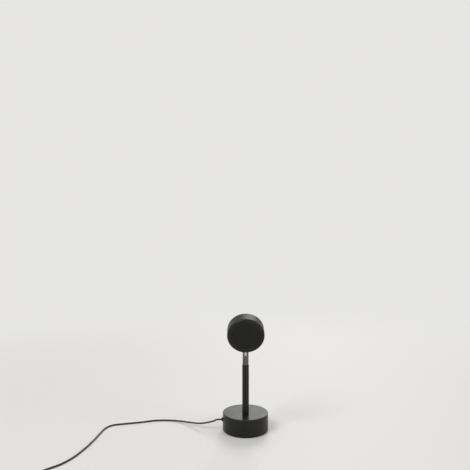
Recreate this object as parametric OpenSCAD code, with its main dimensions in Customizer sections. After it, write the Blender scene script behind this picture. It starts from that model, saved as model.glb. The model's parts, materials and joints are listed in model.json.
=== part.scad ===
// Sunset projection lamp: a weighted round base, an off-centre pole, a swivelling and
// tilting knuckle, and a round projector head, with its lead, push switch and plug.
// Millimetres, +Z up. The origin is the centre of the foot's underside, the lamp shines
// towards +Y, and its lead leaves the base towards -X.

/* [Base] */
// Diameter of the round base
base_d = 75; // [70:1:100]
// Height of the base above the table
base_h = 29; // [27:1:40]
// Thickness of the base shell's side wall
base_wall = 2.5; // [1.5:0.25:3.5]
// Thickness of the base shell's top
base_top = 3; // [2:0.25:4]
// Rounding of the base shell's top edge
base_round = 0.8; // [0.3:0.1:1.4]
// Height of the shell's lower rim above the table
rim_lift = 1; // [0.5:0.25:1.5]
// Thickness of the soft foot pad
foot_t = 2; // [1.75:0.25:2.5]
// How far the foot pad's edge stays inside the base plate's
foot_inset = 2; // [1:0.5:6]
// Thickness of the base plate
plate_t = 1.6; // [1.4:0.2:2.2]
// Gap between the iron ballast disc and the screw posts round it
ballast_gap = 2; // [1:0.5:6]
// Gap between the ballast disc and the lead above it
ballast_room = 2.6; // [1:0.2:5]
// Diameter of each screw post inside the base
post_d = 7; // [5.5:0.5:8]
// Diameter of the base screws
base_screw_d = 2.5; // [2:0.5:3]
// Distance of the lead's outlet below the base's top
outlet_drop = 12.5; // [12:0.25:14]

/* [Pole] */
// Outside diameter of the pole
pole_d = 11; // [10:0.5:14]
// Wall of the pole tube
pole_wall = 1; // [0.6:0.1:1.2]
// Length of the pole above the base
pole_len = 81; // [60:1:200]
// How far the pole stands behind the centre of the base
pole_back = 11; // [0:1:16]
// Wall of the threaded nipple that holds the pole to the base
nipple_wall = 2; // [1.5:0.25:2.25]
// How far the nipple reaches up into the pole
nipple_grip = 12; // [8:1:20]
// Height of the nipple's nut
nipple_nut_h = 3; // [2:0.5:4]
// Width of the nipple's nut across its flats
nipple_nut_af = 13; // [12:0.5:16]
// Diameter of the washer above the nut
nipple_washer_d = 16; // [14:0.5:18]
// Thickness of the washer above the nut
nipple_washer_t = 0.8; // [0.5:0.1:1.2]

/* [Neck] */
// Diameter of the neck
neck_d = 10; // [9.5:0.5:11]
// Height of the tilt axis above the pole's top
neck_len = 17.5; // [15:0.5:30]
// Wall of the swivel bush in the pole's top
bush_wall = 0.95; // [0.7:0.05:1.2]
// Length of the swivel bush inside the pole
bush_len = 12; // [8:1:20]
// Thickness of the bush's flange between pole and neck
bush_flange = 0.6; // [0.4:0.1:1.5]
// Diameter of the lead's way through the neck
neck_bore = 3.4; // [2.8:0.2:4]
// Thickness of the retaining clip below the bush
clip_t = 0.7; // [0.5:0.1:1]
// Thickness of the head's tongue between the neck's two ears
tongue_t = 3.4; // [3:0.2:3.8]
// Radius of the tongue's round end
tongue_r = 4.6; // [4.2:0.1:4.8]
// Thickness of each friction washer beside the tongue
friction_t = 0.5; // [0.3:0.1:0.6]
// Diameter of each friction washer
friction_d = 6.8; // [5.5:0.1:7]
// Diameter of the tilt screw
tilt_screw_d = 3; // [2.5:0.5:3]
// Diameter of the tilt screw's head
tilt_head_d = 5; // [4.6:0.2:5.2]

/* [Head] */
// Diameter of the head
head_d = 60; // [58:1:80]
// Length of the head's housing along the beam
head_len = 21.5; // [21:0.5:35]
// Side wall of the head's housing
head_wall = 3; // [2:0.25:3.5]
// Thickness of the housing's rear rim
head_rear_t = 3; // [2.5:0.25:4]
// Rounding of the housing's rear edge
head_round = 3; // [1:0.25:4]
// Distance from the tilt axis to the side of the head
head_gap = 9; // [8.5:0.5:20]
// Tilt of the beam above the horizontal at rest
head_tilt = 18.5; // [0:0.5:60]
// Diameter of the tongue's round foot
tongue_foot_d = 10; // [9:0.5:11]
// Diameter of the tongue's threaded stud
stud_d = 6; // [5:0.5:6]
// Width of the stud's nut across its flats
stud_nut_af = 8; // [7.5:0.5:9]
// Height of the stud's nut
stud_nut_h = 2.6; // [2:0.2:3]
// Distance of the rear cover's edge from the head's side
rear_margin = 7; // [5.5:0.5:12]
// Thickness of the rear cover
cover_t = 1.4; // [1:0.1:1.6]

/* [Optics] */
// Thickness of the heat spreader disc
spreader_t = 4; // [2.5:0.25:4]
// Diameter of the round light board
board_d = 24; // [22:1:30]
// Thickness of the light board
board_t = 1.6; // [1:0.2:1.6]
// Diameter of the light chip
chip_d = 9; // [5:0.5:9.5]
// Thickness of the light chip
chip_t = 0.8; // [0.4:0.1:1]
// Gap between the reflector's tail and the heads of the board screws
board_screw_gap = 0.9; // [0.4:0.1:1.5]
// Wall of the reflector
reflector_wall = 0.8; // [0.6:0.1:1]
// Width of the reflector's flat front flange
reflector_rim = 3.3; // [2:0.1:6]
// How much smaller in radius the front barrel is than its thread in the housing
barrel_step = 1.5; // [1:0.1:3]
// Wall of the front barrel round the lens
barrel_wall = 2.9; // [2:0.1:4]
// How far the barrel stands out of the housing
barrel_out = 6.9; // [6.5:0.1:12]
// Width of the barrel's ledge under the lens
ledge_w = 2.2; // [1.5:0.1:2.4]
// Width of the lens's flat flange round its dome
lens_flange = 2.4; // [1.5:0.1:4]
// Thickness of the lens flange
lens_edge = 2.4; // [1.6:0.2:2.6]
// Height of the lens dome above its flange
dome_h = 8; // [3:0.5:12]
// Thickness of the colour filter
filter_t = 1; // [0.6:0.1:1.2]
// Thickness of the spacer ring in front of the filter
spacer_t = 0.5; // [0.3:0.1:0.6]
// Thickness of the lens gasket
gasket_t = 1; // [0.6:0.1:1.4]
// Thickness of the bezel's front flange
bezel_t = 1.6; // [1.2:0.1:2.5]

/* [Cord] */
// Diameter of the lead
cord_d = 2.6; // [2.4:0.1:2.8]
// Diameter of the rubber outlet bush
grommet_d = 7; // [6:0.5:9]
// How far the outlet bush stands out of the base
grommet_out = 2; // [1:0.25:4]
// Diameter of the coil at the middle of its turns
coil_mid_d = 30; // [28:1:31]
// Gap between neighbouring turns and layers of the coil
turn_gap = 0.5; // [0.45:0.05:0.7]
// Thickness of the tie strip round the coil
tie_t = 0.6; // [0.4:0.1:0.8]
// Part of the coil's circle that the tie covers, in degrees
tie_span = 16; // [10:1:24]

/* [Switch] */
// Length of the push switch's housing
switch_l = 46; // [42:1:60]
// Width of the housing
switch_w = 17; // [16:0.5:22]
// Height of the housing
switch_h = 12; // [11.5:0.5:14]
// Height of the housing's split line, and of the lead through it
switch_split = 5.5; // [5:0.25:6]
// Wall of the housing
switch_wall = 1.6; // [1.2:0.1:1.8]
// Rounding of the housing's long edges
switch_round = 2; // [1:0.25:3]
// Diameter of the push button
button_d = 8; // [6:0.5:9]
// How far the button stands out at rest
button_out = 1.4; // [1.2:0.1:2.5]
// Travel of the button
button_travel = 1; // [0.5:0.1:1.2]

/* [Plug] */
// Length of the plug's moulded grip
grip_l = 22; // [18:1:30]
// Width of the grip
grip_w = 15.5; // [14:0.5:18]
// Height of the grip
grip_h = 8; // [7.5:0.5:10]
// Length of the tapered strain relief behind the grip
relief_l = 9; // [6:0.5:14]
// Width of the plug's metal sleeve
sleeve_w = 12; // [12:0.1:12.1]
// Height of the plug's metal sleeve
sleeve_h = 4.5; // [4.4:0.1:4.5]
// Length of the sleeve outside the grip
sleeve_l = 14.5; // [12:0.5:15]
// Sheet thickness of the sleeve
sleeve_t = 0.3; // [0.2:0.05:0.4]
// Thickness of the contact carrier in the sleeve
carrier_t = 1.9; // [1.6:0.1:2]

/* [Fits] */
// Radial running clearance of the swivel and the tilt screw
run_gap = 0.05; // [0.03:0.01:0.08]
// Side clearance of the tongue between the washers
side_gap = 0.1; // [0.05:0.01:0.2]
// Clearance between pieces that move past each other
free_gap = 0.6; // [0.4:0.1:1]
// Clearance of the button in its hole
button_gap = 0.2; // [0.15:0.05:0.3]
// Clearance of the base plate in the base shell
plate_gap = 0.2; // [0.1:0.05:0.4]
// Clearance of the stud's nut between its neighbours in the head
nut_room = 1; // [0.5:0.1:2]
// Radial clearance of the lens in the barrel
lens_gap = 0.2; // [0.1:0.05:0.4]
// Radial clearance of the filter, spacer and reflector in the barrel
filter_gap = 0.1; // [0.05:0.05:0.2]
// Radial clearance of the bezel round the lens dome
bezel_gap = 0.3; // [0.1:0.05:0.6]

/* [Hidden] */
$fn = 96;
// Overlap that fuses two joined shapes, and how far a cut runs past a face
slice = 0.01;
past = 1;

black = "#161514";
soft_black = "#1d1c1b";
dark_nickel = "#3a3735";
steel = "#b9b6b0";
raw_aluminium = "#a7a8aa";

// Levels and radii of the base
base_r = base_d / 2;
base_in_r = base_r - base_wall;
outlet_h = base_h - outlet_drop;
plate_top = foot_t + plate_t;
roof = base_h - base_top;
post_ring = base_in_r - post_d / 2 - 1;
post_angles = [90, 210, 330];
ballast_r = post_ring - post_d / 2 - ballast_gap;
ballast_bore_r = 3;
ballast_h = outlet_h - cord_d / 2 - ballast_room - plate_top;
screw_head_r = base_screw_d;
screw_head_h = 1.2;
screw_len = 8;

// Pole and nipple
pole_r = pole_d / 2;
pole_in_r = pole_r - pole_wall;
pole_top = base_h + pole_len;
nipple_out = 3;
nipple_low = roof - nipple_washer_t - nipple_nut_h - nipple_out;

// Neck: the bush, the spigot in it and the fork above
bush_r = pole_in_r - bush_wall;
spigot_r = bush_r - run_gap;
shoulder_z = pole_top + bush_flange + side_gap;
clip_r = pole_in_r - 0.3;
clip_groove_r = spigot_r - 0.5;
clip_z = pole_top - bush_len - side_gap - clip_t;
spigot_low = clip_z - 0.6;
neck_r = neck_d / 2;
tilt_z = pole_top + neck_len;
slot_half = tongue_t / 2 + side_gap + friction_t;
slot_low = tilt_z - tongue_r - free_gap;
ear_floor = slot_half + 1.1;
tilt_head_out = sqrt(neck_r * neck_r - tilt_head_d * tilt_head_d / 4) - 0.05;
tilt_screw_r = tilt_screw_d / 2;

// Head: distances along the beam are measured from the rear face
head_r = head_d / 2;
head_in_r = head_r - head_wall;
head_rise = head_gap + head_r;
foot_r = tongue_foot_d / 2;
spot_face = floor(10 * sqrt(head_r * head_r - foot_r * foot_r)) / 10 - 0.1;
foot_low = neck_r + free_gap + 0.2;
stud_r = stud_d / 2;
stud_nut_r = stud_nut_af / sqrt(3);
nut_seat = sqrt(head_in_r * head_in_r - stud_nut_r * stud_nut_r) - 0.05;
stud_end = nut_seat - stud_nut_h - 0.4;
lead_bore_r = 1.4;
cover_r = head_r - rear_margin;
cover_ledge = 2;
groove = 0.4;

// Radii of the optics, from the housing inwards
barrel_r = head_in_r - barrel_step;
lens_bore_r = barrel_r - barrel_wall;
lens_r = lens_bore_r - lens_gap;
dome_r = lens_r - lens_flange;
aperture_r = lens_r - ledge_w;
filter_bore_r = lens_r - 0.5;
filter_r = filter_bore_r - filter_gap;
mouth_r = filter_r - reflector_rim;
bezel_in_r = dome_r + bezel_gap;

// Stack of the optics, from the rear
spreader_top = head_rear_t + spreader_t;
board_top = spreader_top + board_t;
board_screw_r = 1;
board_screw_head_r = 1.8;
board_screw_h = 1.2;
board_screw_bite = 2.2;
tail_r = chip_d / 2 + 0.5;
tail_top = board_top + board_screw_h + 0.6;
board_screw_at = tail_r + reflector_wall + board_screw_gap + board_screw_head_r;
tongue_at = spreader_top + nut_room + stud_nut_af / 2;
barrel_low = tongue_at + stud_nut_af / 2 + nut_room;
ledge_t = 1;
lens_seat = head_len + 0.8;
spacer_low = lens_seat - ledge_t - spacer_t;
filter_low = spacer_low - filter_t;
reflector_top = filter_low;
reflector_flange = 1;
barrel_top = head_len + barrel_out;
lens_top = lens_seat + lens_edge;
gasket_top = lens_top + gasket_t;
dome_sphere = (dome_r * dome_r + dome_h * dome_h) / (2 * dome_h);
bezel_top = barrel_top + bezel_t;

// Lead inside the base and the pole
cord_r = cord_d / 2;
cord_straight = 6;
outlet_x = -(base_r + grommet_out);
grommet_r = grommet_d / 2;
grommet_neck_r = grommet_r - 1;
grommet_in_x = -sqrt(base_in_r * base_in_r - grommet_r * grommet_r);
grommet_in_t = 1.3;
stop_x = grommet_in_x + grommet_in_t;
stop_l = 4;
stop_r = 3;
lead_free_x = stop_x + stop_l + 0.5;
lead_turn_x = lead_free_x + 6;
lead_bend = 5;
lead_top = spigot_low - 3;

// Free lead on the table: x, y, and the height of its underside, chosen by hand
table_route = [
    [-56, -2.5, 12.4], [-74, 4, 7], [-92, 17, 3.4], [-110, 29.5, 1], [-132.5, 36, 0],
    [-155.5, 35, 0], [-178, 27.5, 0], [-200.5, 21.5, 0], [-223, 14.5, 0], [-232, 2, 0],
    [-235.5, -18, 0], [-237.5, -40.5, 0], [-240.5, -63, 0], [-245, -85.5, 0],
    [-251, -107, 0], [-261, -127, 0], [-276, -143.5, 0], [-289, -161, 0], [-294.5, -183, 0.3]
];
tail_route = [[-263, -215, 8.4], [-254, -211.5, 6], [-246, -208.5, 4.4]];

// Coil of the spare length: four layers that spiral in and out
coil_centre = [-275, -197];
coil_turns = 10.25;
coil_layers = 4;
coil_pitch = cord_d + turn_gap;
layer_turns = coil_turns / coil_layers;
coil_out_r = coil_mid_d / 2 + layer_turns * coil_pitch / 2;
coil_in_r = coil_mid_d / 2 - layer_turns * coil_pitch / 2;
coil_z = tie_t + 0.1 + cord_r;
coil_top = coil_z + (coil_layers - 1) * coil_pitch;
coil_sides = 6;
coil_rings = 24;
cord_sides = 8;
route_steps = 3;
coil_start = [coil_centre[0] - coil_out_r, coil_centre[1], coil_z];
coil_end = [coil_centre[0], coil_centre[1] - coil_out_r, coil_top];
tie_from = 52;
tie_clear = 0.15;

// Switch and plug, in line along X
switch_y = -208;
switch_x = -237;
nozzle_l = 3;
nozzle_r = cord_r + 1.3;
switch_cx = switch_x + nozzle_l + switch_l / 2;
switch_end = switch_x + 2 * nozzle_l + switch_l;
switch_roof = switch_h - switch_wall;
switch_post_x = switch_l / 2 - 9;
switch_post_y = switch_w / 2 - switch_wall - 2.3;
switch_post_r = 1.9;
small_screw_r = 0.8;
small_head_r = 1.5;
small_head_h = 0.7;
flange_r = button_d / 2 + 1;
flange_t = 1;
button_stem_r = 1.6;
module_w = 8;
module_h = 2.6;
plug_gap_x = 24;
plug_x = switch_end + plug_gap_x;
plug_z = grip_h / 2;
grip_x = plug_x + relief_l;
sleeve_x = grip_x + grip_l;
sleeve_grip = 5;
sleeve_round = 0.5;
sleeve_in_round = 0.3;
contact_w = 1;
contact_t = 0.15;
contact_pitch = 2;

function unit(v) = v / norm(v);

// A ring of points round centre c, square to dir; across is never along dir
function ring_at(c, dir, r, sides, across) =
    let (side = unit(cross(dir, across)), up = cross(side, dir))
    [for (k = [0 : sides - 1]) c + r * (cos(360 * k / sides) * side + sin(360 * k / sides) * up)];

// Direction of a path at its point i
function heading(path, i) =
    let (last = len(path) - 1)
    unit(path[min(i + 1, last)] - path[max(i - 1, 0)]);

// Catmull-Rom curve between b and c, with neighbours a and d
function curve(a, b, c, d, t) =
    0.5 * (2 * b + (c - a) * t + (2 * a - 5 * b + 4 * c - d) * t * t
    + (3 * b - a - 3 * c + d) * t * t * t);

// A smooth path through points, straight in its first and last step
function smooth(points, steps) =
    let (last = len(points) - 1)
    concat(
        [points[0]],
        [for (i = [1 : last - 2]) for (s = [0 : steps - 1])
            curve(points[i - 1], points[i], points[i + 1], points[i + 2], s / steps)],
        [points[last - 1], points[last]]
    );

// The same path, never below the table
function laid(points, steps) = [for (p = smooth(points, steps)) [p[0], p[1], max(p[2], cord_r)]];

function lifted(points) = [for (p = points) [p[0], p[1], p[2] + cord_r]];

// Share of a climb done at a, which is 0 before -0.25 turns and 1 after 0.25 turns
function climb(a) = let (s = max(0, min(1, 2 * a + 0.5))) s * s * (3 - 2 * s);

// Point of the coil after a turns: its radius runs in and out, and each reversal climbs a layer
function coil_point(a) =
    let (
        layer = min(floor(a / layer_turns), coil_layers - 1),
        share = a / layer_turns - layer,
        inward = layer % 2 == 0 ? share : 1 - share,
        r = coil_out_r - inward * (coil_out_r - coil_in_r),
        rise = climb(a - layer_turns) + climb(a - 2 * layer_turns) + climb(a - 3 * layer_turns)
    )
    [coil_centre[0] - r * cos(360 * a), coil_centre[1] - r * sin(360 * a), coil_z + coil_pitch * rise];

coil_steps = floor(coil_turns * coil_rings);
coil_path = concat(
    [coil_start + [0, cord_d, 0]],
    [for (i = [0 : coil_steps]) coil_point(coil_turns * i / coil_steps)],
    [coil_end + [cord_d, 0, 0]]
);

run_path = laid(concat(
    [[outlet_x, 0, outlet_h], [outlet_x - cord_straight, 0, outlet_h]],
    lifted(table_route),
    [coil_start + [0, 2 * cord_d, 0], coil_start + [0, cord_d, 0]]
), route_steps);
tail_path = laid(concat(
    [coil_end + [cord_d, 0, 0], coil_end + [2 * cord_d, 0, 0]],
    lifted(tail_route),
    [[switch_x - cord_d, switch_y, switch_split], [switch_x, switch_y, switch_split]]
), 2);
link_path = laid(concat(
    [[switch_end, switch_y, switch_split], [switch_end + cord_d, switch_y, switch_split]],
    [[(switch_end + plug_x) / 2, switch_y, (switch_split + plug_z) / 2]],
    [[plug_x - cord_d, switch_y, plug_z], [plug_x, switch_y, plug_z]]
), 2);

// Least distance between parts of the coil that are over half a turn apart, less the diameter
function coil_gap() =
    min([for (i = [0 : len(coil_path) - 1]) for (j = [i + coil_rings / 2 : 1 : len(coil_path) - 1])
        norm(coil_path[i] - coil_path[j])]) - cord_d;

function path_length(path) =
    [for (i = 0, s = 0; i < len(path); s = s + (i < len(path) - 1 ? norm(path[i + 1] - path[i]) : 0),
        i = i + 1) s][len(path) - 1];

// One closed tube along a path, its faces all triangles
module tube(path, r, sides, across = [0, 0, 1]) {
    rings = len(path);
    points = [for (i = [0 : rings - 1]) each ring_at(path[i], heading(path, i), r, sides, across)];
    walls = [for (i = [0 : rings - 2]) for (k = [0 : sides - 1])
        let (a = i * sides + k, b = i * sides + (k + 1) % sides)
        each [[a, b, b + sides], [a, b + sides, a + sides]]];
    start = [for (k = [1 : sides - 2]) [0, k + 1, k]];
    end = [for (k = [1 : sides - 2]) [0, k, k + 1] + (rings - 1) * sides * [1, 1, 1]];
    polyhedron(points, concat(walls, start, end), convexity = 10);
}

module ring(r, bore, h) {
    difference() {
        cylinder(r = r, h = h);
        translate([0, 0, -past]) cylinder(r = bore, h = h + 2 * past);
    }
}

module bar(r, h) { cylinder(r = r, h = h); }

// Hexagon of a width across its flats
module hexagon(af, h) { cylinder(r = af / sqrt(3), h = h, $fn = 6); }

// Places children on the pole's axis
module at_pole() { translate([0, -pole_back, 0]) children(); }

// Tilt axis along +X, with z towards the head and y along the beam
module at_tilt() { translate([0, -pole_back, tilt_z]) rotate([head_tilt, 0, 0]) children(); }

// Beam axis along +Z, from the centre of the head's rear face
module on_beam() {
    at_tilt() translate([0, -tongue_at, head_rise]) rotate([-90, 0, 0]) children();
}

// Turns a local +Z shape to lie along +X
module along_x() { rotate([0, 90, 0]) children(); }

/* Base */

module base_screw_places() {
    for (a = post_angles) rotate(a) translate([post_ring, 0, 0]) children();
}

module base_shell() {
    color(black) difference() {
        union() {
            rotate_extrude() {
                translate([base_in_r, rim_lift]) square([base_wall, base_h - rim_lift - base_round]);
                translate([0, roof]) square([base_r - base_round, base_top]);
                translate([base_r - base_round, base_h - base_round]) circle(base_round);
            }
            base_screw_places() translate([0, 0, plate_top]) bar(post_d / 2, roof - plate_top + slice);
        }
        at_pole() translate([0, 0, roof - past]) bar(pole_in_r, base_top + 2 * past);
        base_screw_places() translate([0, 0, plate_top - past]) bar(base_screw_d / 2, screw_len + past);
        translate([0, 0, outlet_h]) rotate([0, -90, 0]) bar(grommet_neck_r, base_r + past);
    }
}

module base_ballast() {
    edge = 0.8;
    color("#4b4744") translate([0, 0, plate_top]) rotate_extrude() polygon([
        [ballast_bore_r, 0], [ballast_r, 0], [ballast_r, ballast_h - edge],
        [ballast_r - edge, ballast_h], [ballast_bore_r, ballast_h]
    ]);
}

module base_plate() {
    color(dark_nickel) difference() {
        translate([0, 0, foot_t]) bar(base_in_r - plate_gap, plate_t);
        base_screw_places() {
            translate([0, 0, foot_t]) cylinder(r1 = screw_head_r, r2 = base_screw_d / 2, h = screw_head_h);
            translate([0, 0, foot_t - past]) bar(base_screw_d / 2, plate_t + 2 * past);
        }
    }
}

module foot_pad() {
    color("#262422") bar(base_in_r - plate_gap - foot_inset, foot_t);
}

module base_screws() {
    color(steel) base_screw_places() translate([0, 0, foot_t]) {
        cylinder(r1 = screw_head_r, r2 = base_screw_d / 2, h = screw_head_h);
        bar(base_screw_d / 2, plate_t + screw_len);
    }
}

/* Pole */

module pole_tube() {
    color(black) at_pole() translate([0, 0, base_h]) ring(pole_r, pole_in_r, pole_len);
}

module pole_nipple() {
    color(steel) at_pole() translate([0, 0, nipple_low])
        ring(pole_in_r, pole_in_r - nipple_wall, base_h - nipple_low + nipple_grip);
}

module nipple_nut() {
    color(steel) at_pole() translate([0, 0, nipple_low + nipple_out]) difference() {
        hexagon(nipple_nut_af, nipple_nut_h);
        translate([0, 0, -past]) bar(pole_in_r, nipple_nut_h + 2 * past);
    }
}

module nipple_washer() {
    color(steel) at_pole() translate([0, 0, roof - nipple_washer_t])
        ring(nipple_washer_d / 2, pole_in_r, nipple_washer_t);
}

module swivel_bush() {
    color(soft_black) at_pole() difference() {
        union() {
            translate([0, 0, pole_top - bush_len]) bar(pole_in_r, bush_len + slice);
            translate([0, 0, pole_top]) bar(min(neck_r, pole_r), bush_flange);
        }
        translate([0, 0, pole_top - bush_len - past]) bar(bush_r, bush_len + bush_flange + 2 * past);
    }
}

/* Lead inside the base */

module cord_grommet() {
    color(soft_black) translate([0, 0, outlet_h]) rotate([0, -90, 0]) difference() {
        union() {
            translate([0, 0, base_r]) cylinder(r1 = grommet_r, r2 = grommet_r - 0.7, h = grommet_out);
            translate([0, 0, -grommet_in_x - slice]) bar(grommet_neck_r, base_r + grommet_in_x + 2 * slice);
            translate([0, 0, -stop_x]) bar(grommet_r, grommet_in_t);
        }
        translate([0, 0, -stop_x - past]) bar(cord_r, base_r + grommet_out + 2 * past);
    }
}

// Crimped sleeve that stops the lead from being pulled out
module cord_stop() {
    color(steel) translate([stop_x, 0, outlet_h]) along_x() ring(stop_r, cord_r, stop_l);
}

module inner_lead() {
    pole = [0, -pole_back];
    way = unit(pole - [lead_turn_x, 0]);
    before = pole - lead_bend * way;
    half = (before + [lead_turn_x, 0]) / 2;
    middle = pole - lead_bend * (1 - sqrt(0.5)) * way;
    color(black) tube(smooth([
        [outlet_x, 0, outlet_h], [outlet_x + grommet_out, 0, outlet_h], [lead_free_x, 0, outlet_h],
        [lead_turn_x, 0, outlet_h], [half[0], half[1], outlet_h], [before[0], before[1], outlet_h],
        [middle[0], middle[1], outlet_h + lead_bend * (1 - sqrt(0.5))],
        [0, -pole_back, outlet_h + lead_bend], [0, -pole_back, outlet_h + 2 * lead_bend],
        [0, -pole_back, lead_top - lead_bend], [0, -pole_back, lead_top]
    ], 3), cord_r, cord_sides, [way[1], -way[0], 0]);
}

/* Neck: swivels on the pole and carries the tilt screw */

module neck_fork() {
    color(dark_nickel) at_pole() difference() {
        union() {
            translate([0, 0, spigot_low]) bar(spigot_r, shoulder_z - spigot_low + slice);
            translate([0, 0, shoulder_z]) bar(neck_r, tilt_z - shoulder_z);
            intersection() {
                translate([0, 0, tilt_z - slice]) bar(neck_r, neck_r + past);
                translate([-neck_r, 0, tilt_z]) along_x() bar(neck_r, neck_d);
            }
        }
        translate([0, 0, clip_z]) ring(spigot_r + past, clip_groove_r, clip_t);
        translate([0, 0, spigot_low - past]) bar(neck_bore / 2, tilt_z - spigot_low);
        translate([-slot_half, -neck_d, slot_low]) cube([2 * slot_half, 2 * neck_d, neck_d * 2]);
        translate([-neck_d, 0, tilt_z]) along_x() bar(tilt_screw_r, 2 * neck_d);
        translate([-neck_d, 0, tilt_z]) along_x() bar(tilt_head_d / 2, neck_d - ear_floor);
    }
}

module neck_clip() {
    color(steel) at_pole() translate([0, 0, clip_z]) difference() {
        ring(clip_r, clip_groove_r, clip_t);
        translate([0, -clip_groove_r / 2, -past]) cube([2 * clip_r, clip_groove_r, clip_t + 2 * past]);
    }
}

module tilt_screw() {
    socket_af = 2;
    socket_depth = 0.5;
    color(steel) translate([0, -pole_back, tilt_z]) along_x() difference() {
        union() {
            translate([0, 0, -tilt_head_out]) bar(tilt_head_d / 2, tilt_head_out - ear_floor);
            translate([0, 0, -ear_floor - slice]) bar(tilt_screw_r, ear_floor + neck_r - 0.5);
        }
        translate([0, 0, -tilt_head_out - past]) hexagon(socket_af, socket_depth + past);
    }
}

module friction_washers() {
    color("#d8d5cc") translate([0, -pole_back, tilt_z]) along_x()
        for (z = [-slot_half, slot_half - friction_t]) translate([0, 0, z])
            ring(friction_d / 2, tilt_screw_r, friction_t);
}

/* Head: tilts on the neck */

module head_tongue() {
    color(steel) at_tilt() difference() {
        union() {
            translate([-tongue_t / 2, 0, 0]) along_x() bar(tongue_r, tongue_t);
            translate([-tongue_t / 2, -tongue_r, 0]) cube([tongue_t, 2 * tongue_r, foot_low + slice]);
            translate([0, 0, foot_low]) bar(foot_r, head_rise - spot_face - foot_low);
            translate([0, 0, head_rise - spot_face - slice]) bar(stud_r, spot_face - stud_end + slice);
        }
        translate([-neck_d, 0, 0]) along_x() bar(tilt_screw_r + run_gap, 2 * neck_d);
        translate([0, 0, head_rise - stud_end - 4]) bar(lead_bore_r, 4 + past);
    }
}

module stud_nut() {
    color(steel) at_tilt() translate([0, 0, head_rise - nut_seat]) difference() {
        hexagon(stud_nut_af, stud_nut_h);
        translate([0, 0, -past]) bar(stud_r, stud_nut_h + 2 * past);
    }
}

module head_housing() {
    lip = 0.5;
    color(black) difference() {
        on_beam() difference() {
            rotate_extrude() {
                square([head_r - head_round, head_len]);
                translate([head_r - head_round, head_round]) circle(head_round);
                polygon([
                    [0, head_round], [head_r, head_round], [head_r, head_len - lip],
                    [head_r - lip, head_len], [0, head_len]
                ]);
            }
            translate([0, 0, head_rear_t]) bar(head_in_r, head_len);
            translate([0, 0, -past]) bar(cover_r - cover_ledge, head_len);
            translate([0, 0, -past]) bar(cover_r, cover_t + past);
            cylinder(r1 = cover_r + groove, r2 = cover_r, h = groove);
        }
        at_tilt() translate([0, 0, head_rise - head_r - past]) {
            bar(stud_r, head_r - stud_end);
            bar(foot_r + 0.2, head_r + past - spot_face);
        }
    }
}

module rear_cover() {
    color(soft_black) on_beam() rotate_extrude() polygon([
        [0, 0], [cover_r - groove, 0], [cover_r, groove], [cover_r, cover_t], [0, cover_t]
    ]);
}

module board_screw_places() {
    for (s = [-1, 1]) translate([s * board_screw_at, 0, 0]) children();
}

module heat_spreader() {
    color(raw_aluminium) on_beam() difference() {
        union() {
            translate([0, 0, head_rear_t]) bar(head_in_r, spreader_t);
            translate([0, 0, cover_t]) bar(cover_r - cover_ledge, head_rear_t - cover_t + slice);
        }
        board_screw_places() translate([0, 0, spreader_top - board_screw_bite])
            bar(board_screw_r, board_screw_bite + past);
    }
}

module light_board() {
    color("#e9e7df") on_beam() difference() {
        translate([0, 0, spreader_top]) bar(board_d / 2, board_t);
        board_screw_places() translate([0, 0, spreader_top - past]) bar(board_screw_r, board_t + 2 * past);
    }
}

module light_chip() {
    color("#f2c84b") on_beam() translate([0, 0, board_top]) bar(chip_d / 2, chip_t);
}

module board_screws() {
    color(steel) on_beam() board_screw_places() {
        translate([0, 0, spreader_top - board_screw_bite])
            bar(board_screw_r, board_t + board_screw_bite + slice);
        translate([0, 0, board_top]) bar(board_screw_head_r, board_screw_h);
    }
}

module head_leads() {
    wire_r = 0.6;
    inside = head_rise - stud_end - 3;
    knee = head_rise - stud_end + 2;
    pad = head_rise - board_d / 2 + 1.6;
    pad_y = board_top + wire_r + 0.05 - tongue_at;
    color("#b3261e") at_tilt() for (x = [-0.65, 0.65]) tube(smooth([
        [x, 0, inside], [x, 0, inside + 2], [x, 0, knee], [x, pad_y + 0.6, pad - 3],
        [x, pad_y, pad], [x, pad_y, pad + 1]
    ], 3), wire_r, coil_sides, [1, 0, 0]);
}

module reflector() {
    low = reflector_top - reflector_flange;
    t = reflector_wall;
    color("#d9d9d6") on_beam() rotate_extrude() polygon([
        [tail_r, board_top], [tail_r + t, board_top], [tail_r + t, tail_top],
        [mouth_r + t, low], [filter_r, low], [filter_r, reflector_top], [mouth_r, reflector_top],
        [tail_r, tail_top]
    ]);
}

module colour_filter() {
    color("#ff8a1c", 0.8) on_beam() translate([0, 0, filter_low]) bar(filter_r, filter_t);
}

module filter_spacer() {
    color(soft_black) on_beam() translate([0, 0, spacer_low])
        ring(filter_r, aperture_r, spacer_t);
}

module front_barrel() {
    edge = 0.3;
    color(black) on_beam() rotate_extrude() polygon([
        [filter_bore_r, barrel_low], [head_in_r, barrel_low], [head_in_r, head_len],
        [barrel_r, head_len], [barrel_r, barrel_top - edge], [barrel_r - edge, barrel_top],
        [lens_bore_r, barrel_top], [lens_bore_r, lens_seat], [aperture_r, lens_seat],
        [aperture_r, lens_seat - ledge_t], [filter_bore_r, lens_seat - ledge_t]
    ]);
}

module lens() {
    color("#ffd9a0", 0.5) on_beam() {
        translate([0, 0, lens_seat]) bar(lens_r, lens_edge);
        intersection() {
            translate([0, 0, lens_top + dome_h - dome_sphere]) sphere(r = dome_sphere, $fn = 160);
            translate([0, 0, lens_top - slice]) bar(dome_r, dome_h + past);
        }
    }
}

module lens_gasket() {
    color(soft_black) on_beam() translate([0, 0, lens_top])
        ring(lens_r, bezel_in_r, gasket_t);
}

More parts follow.
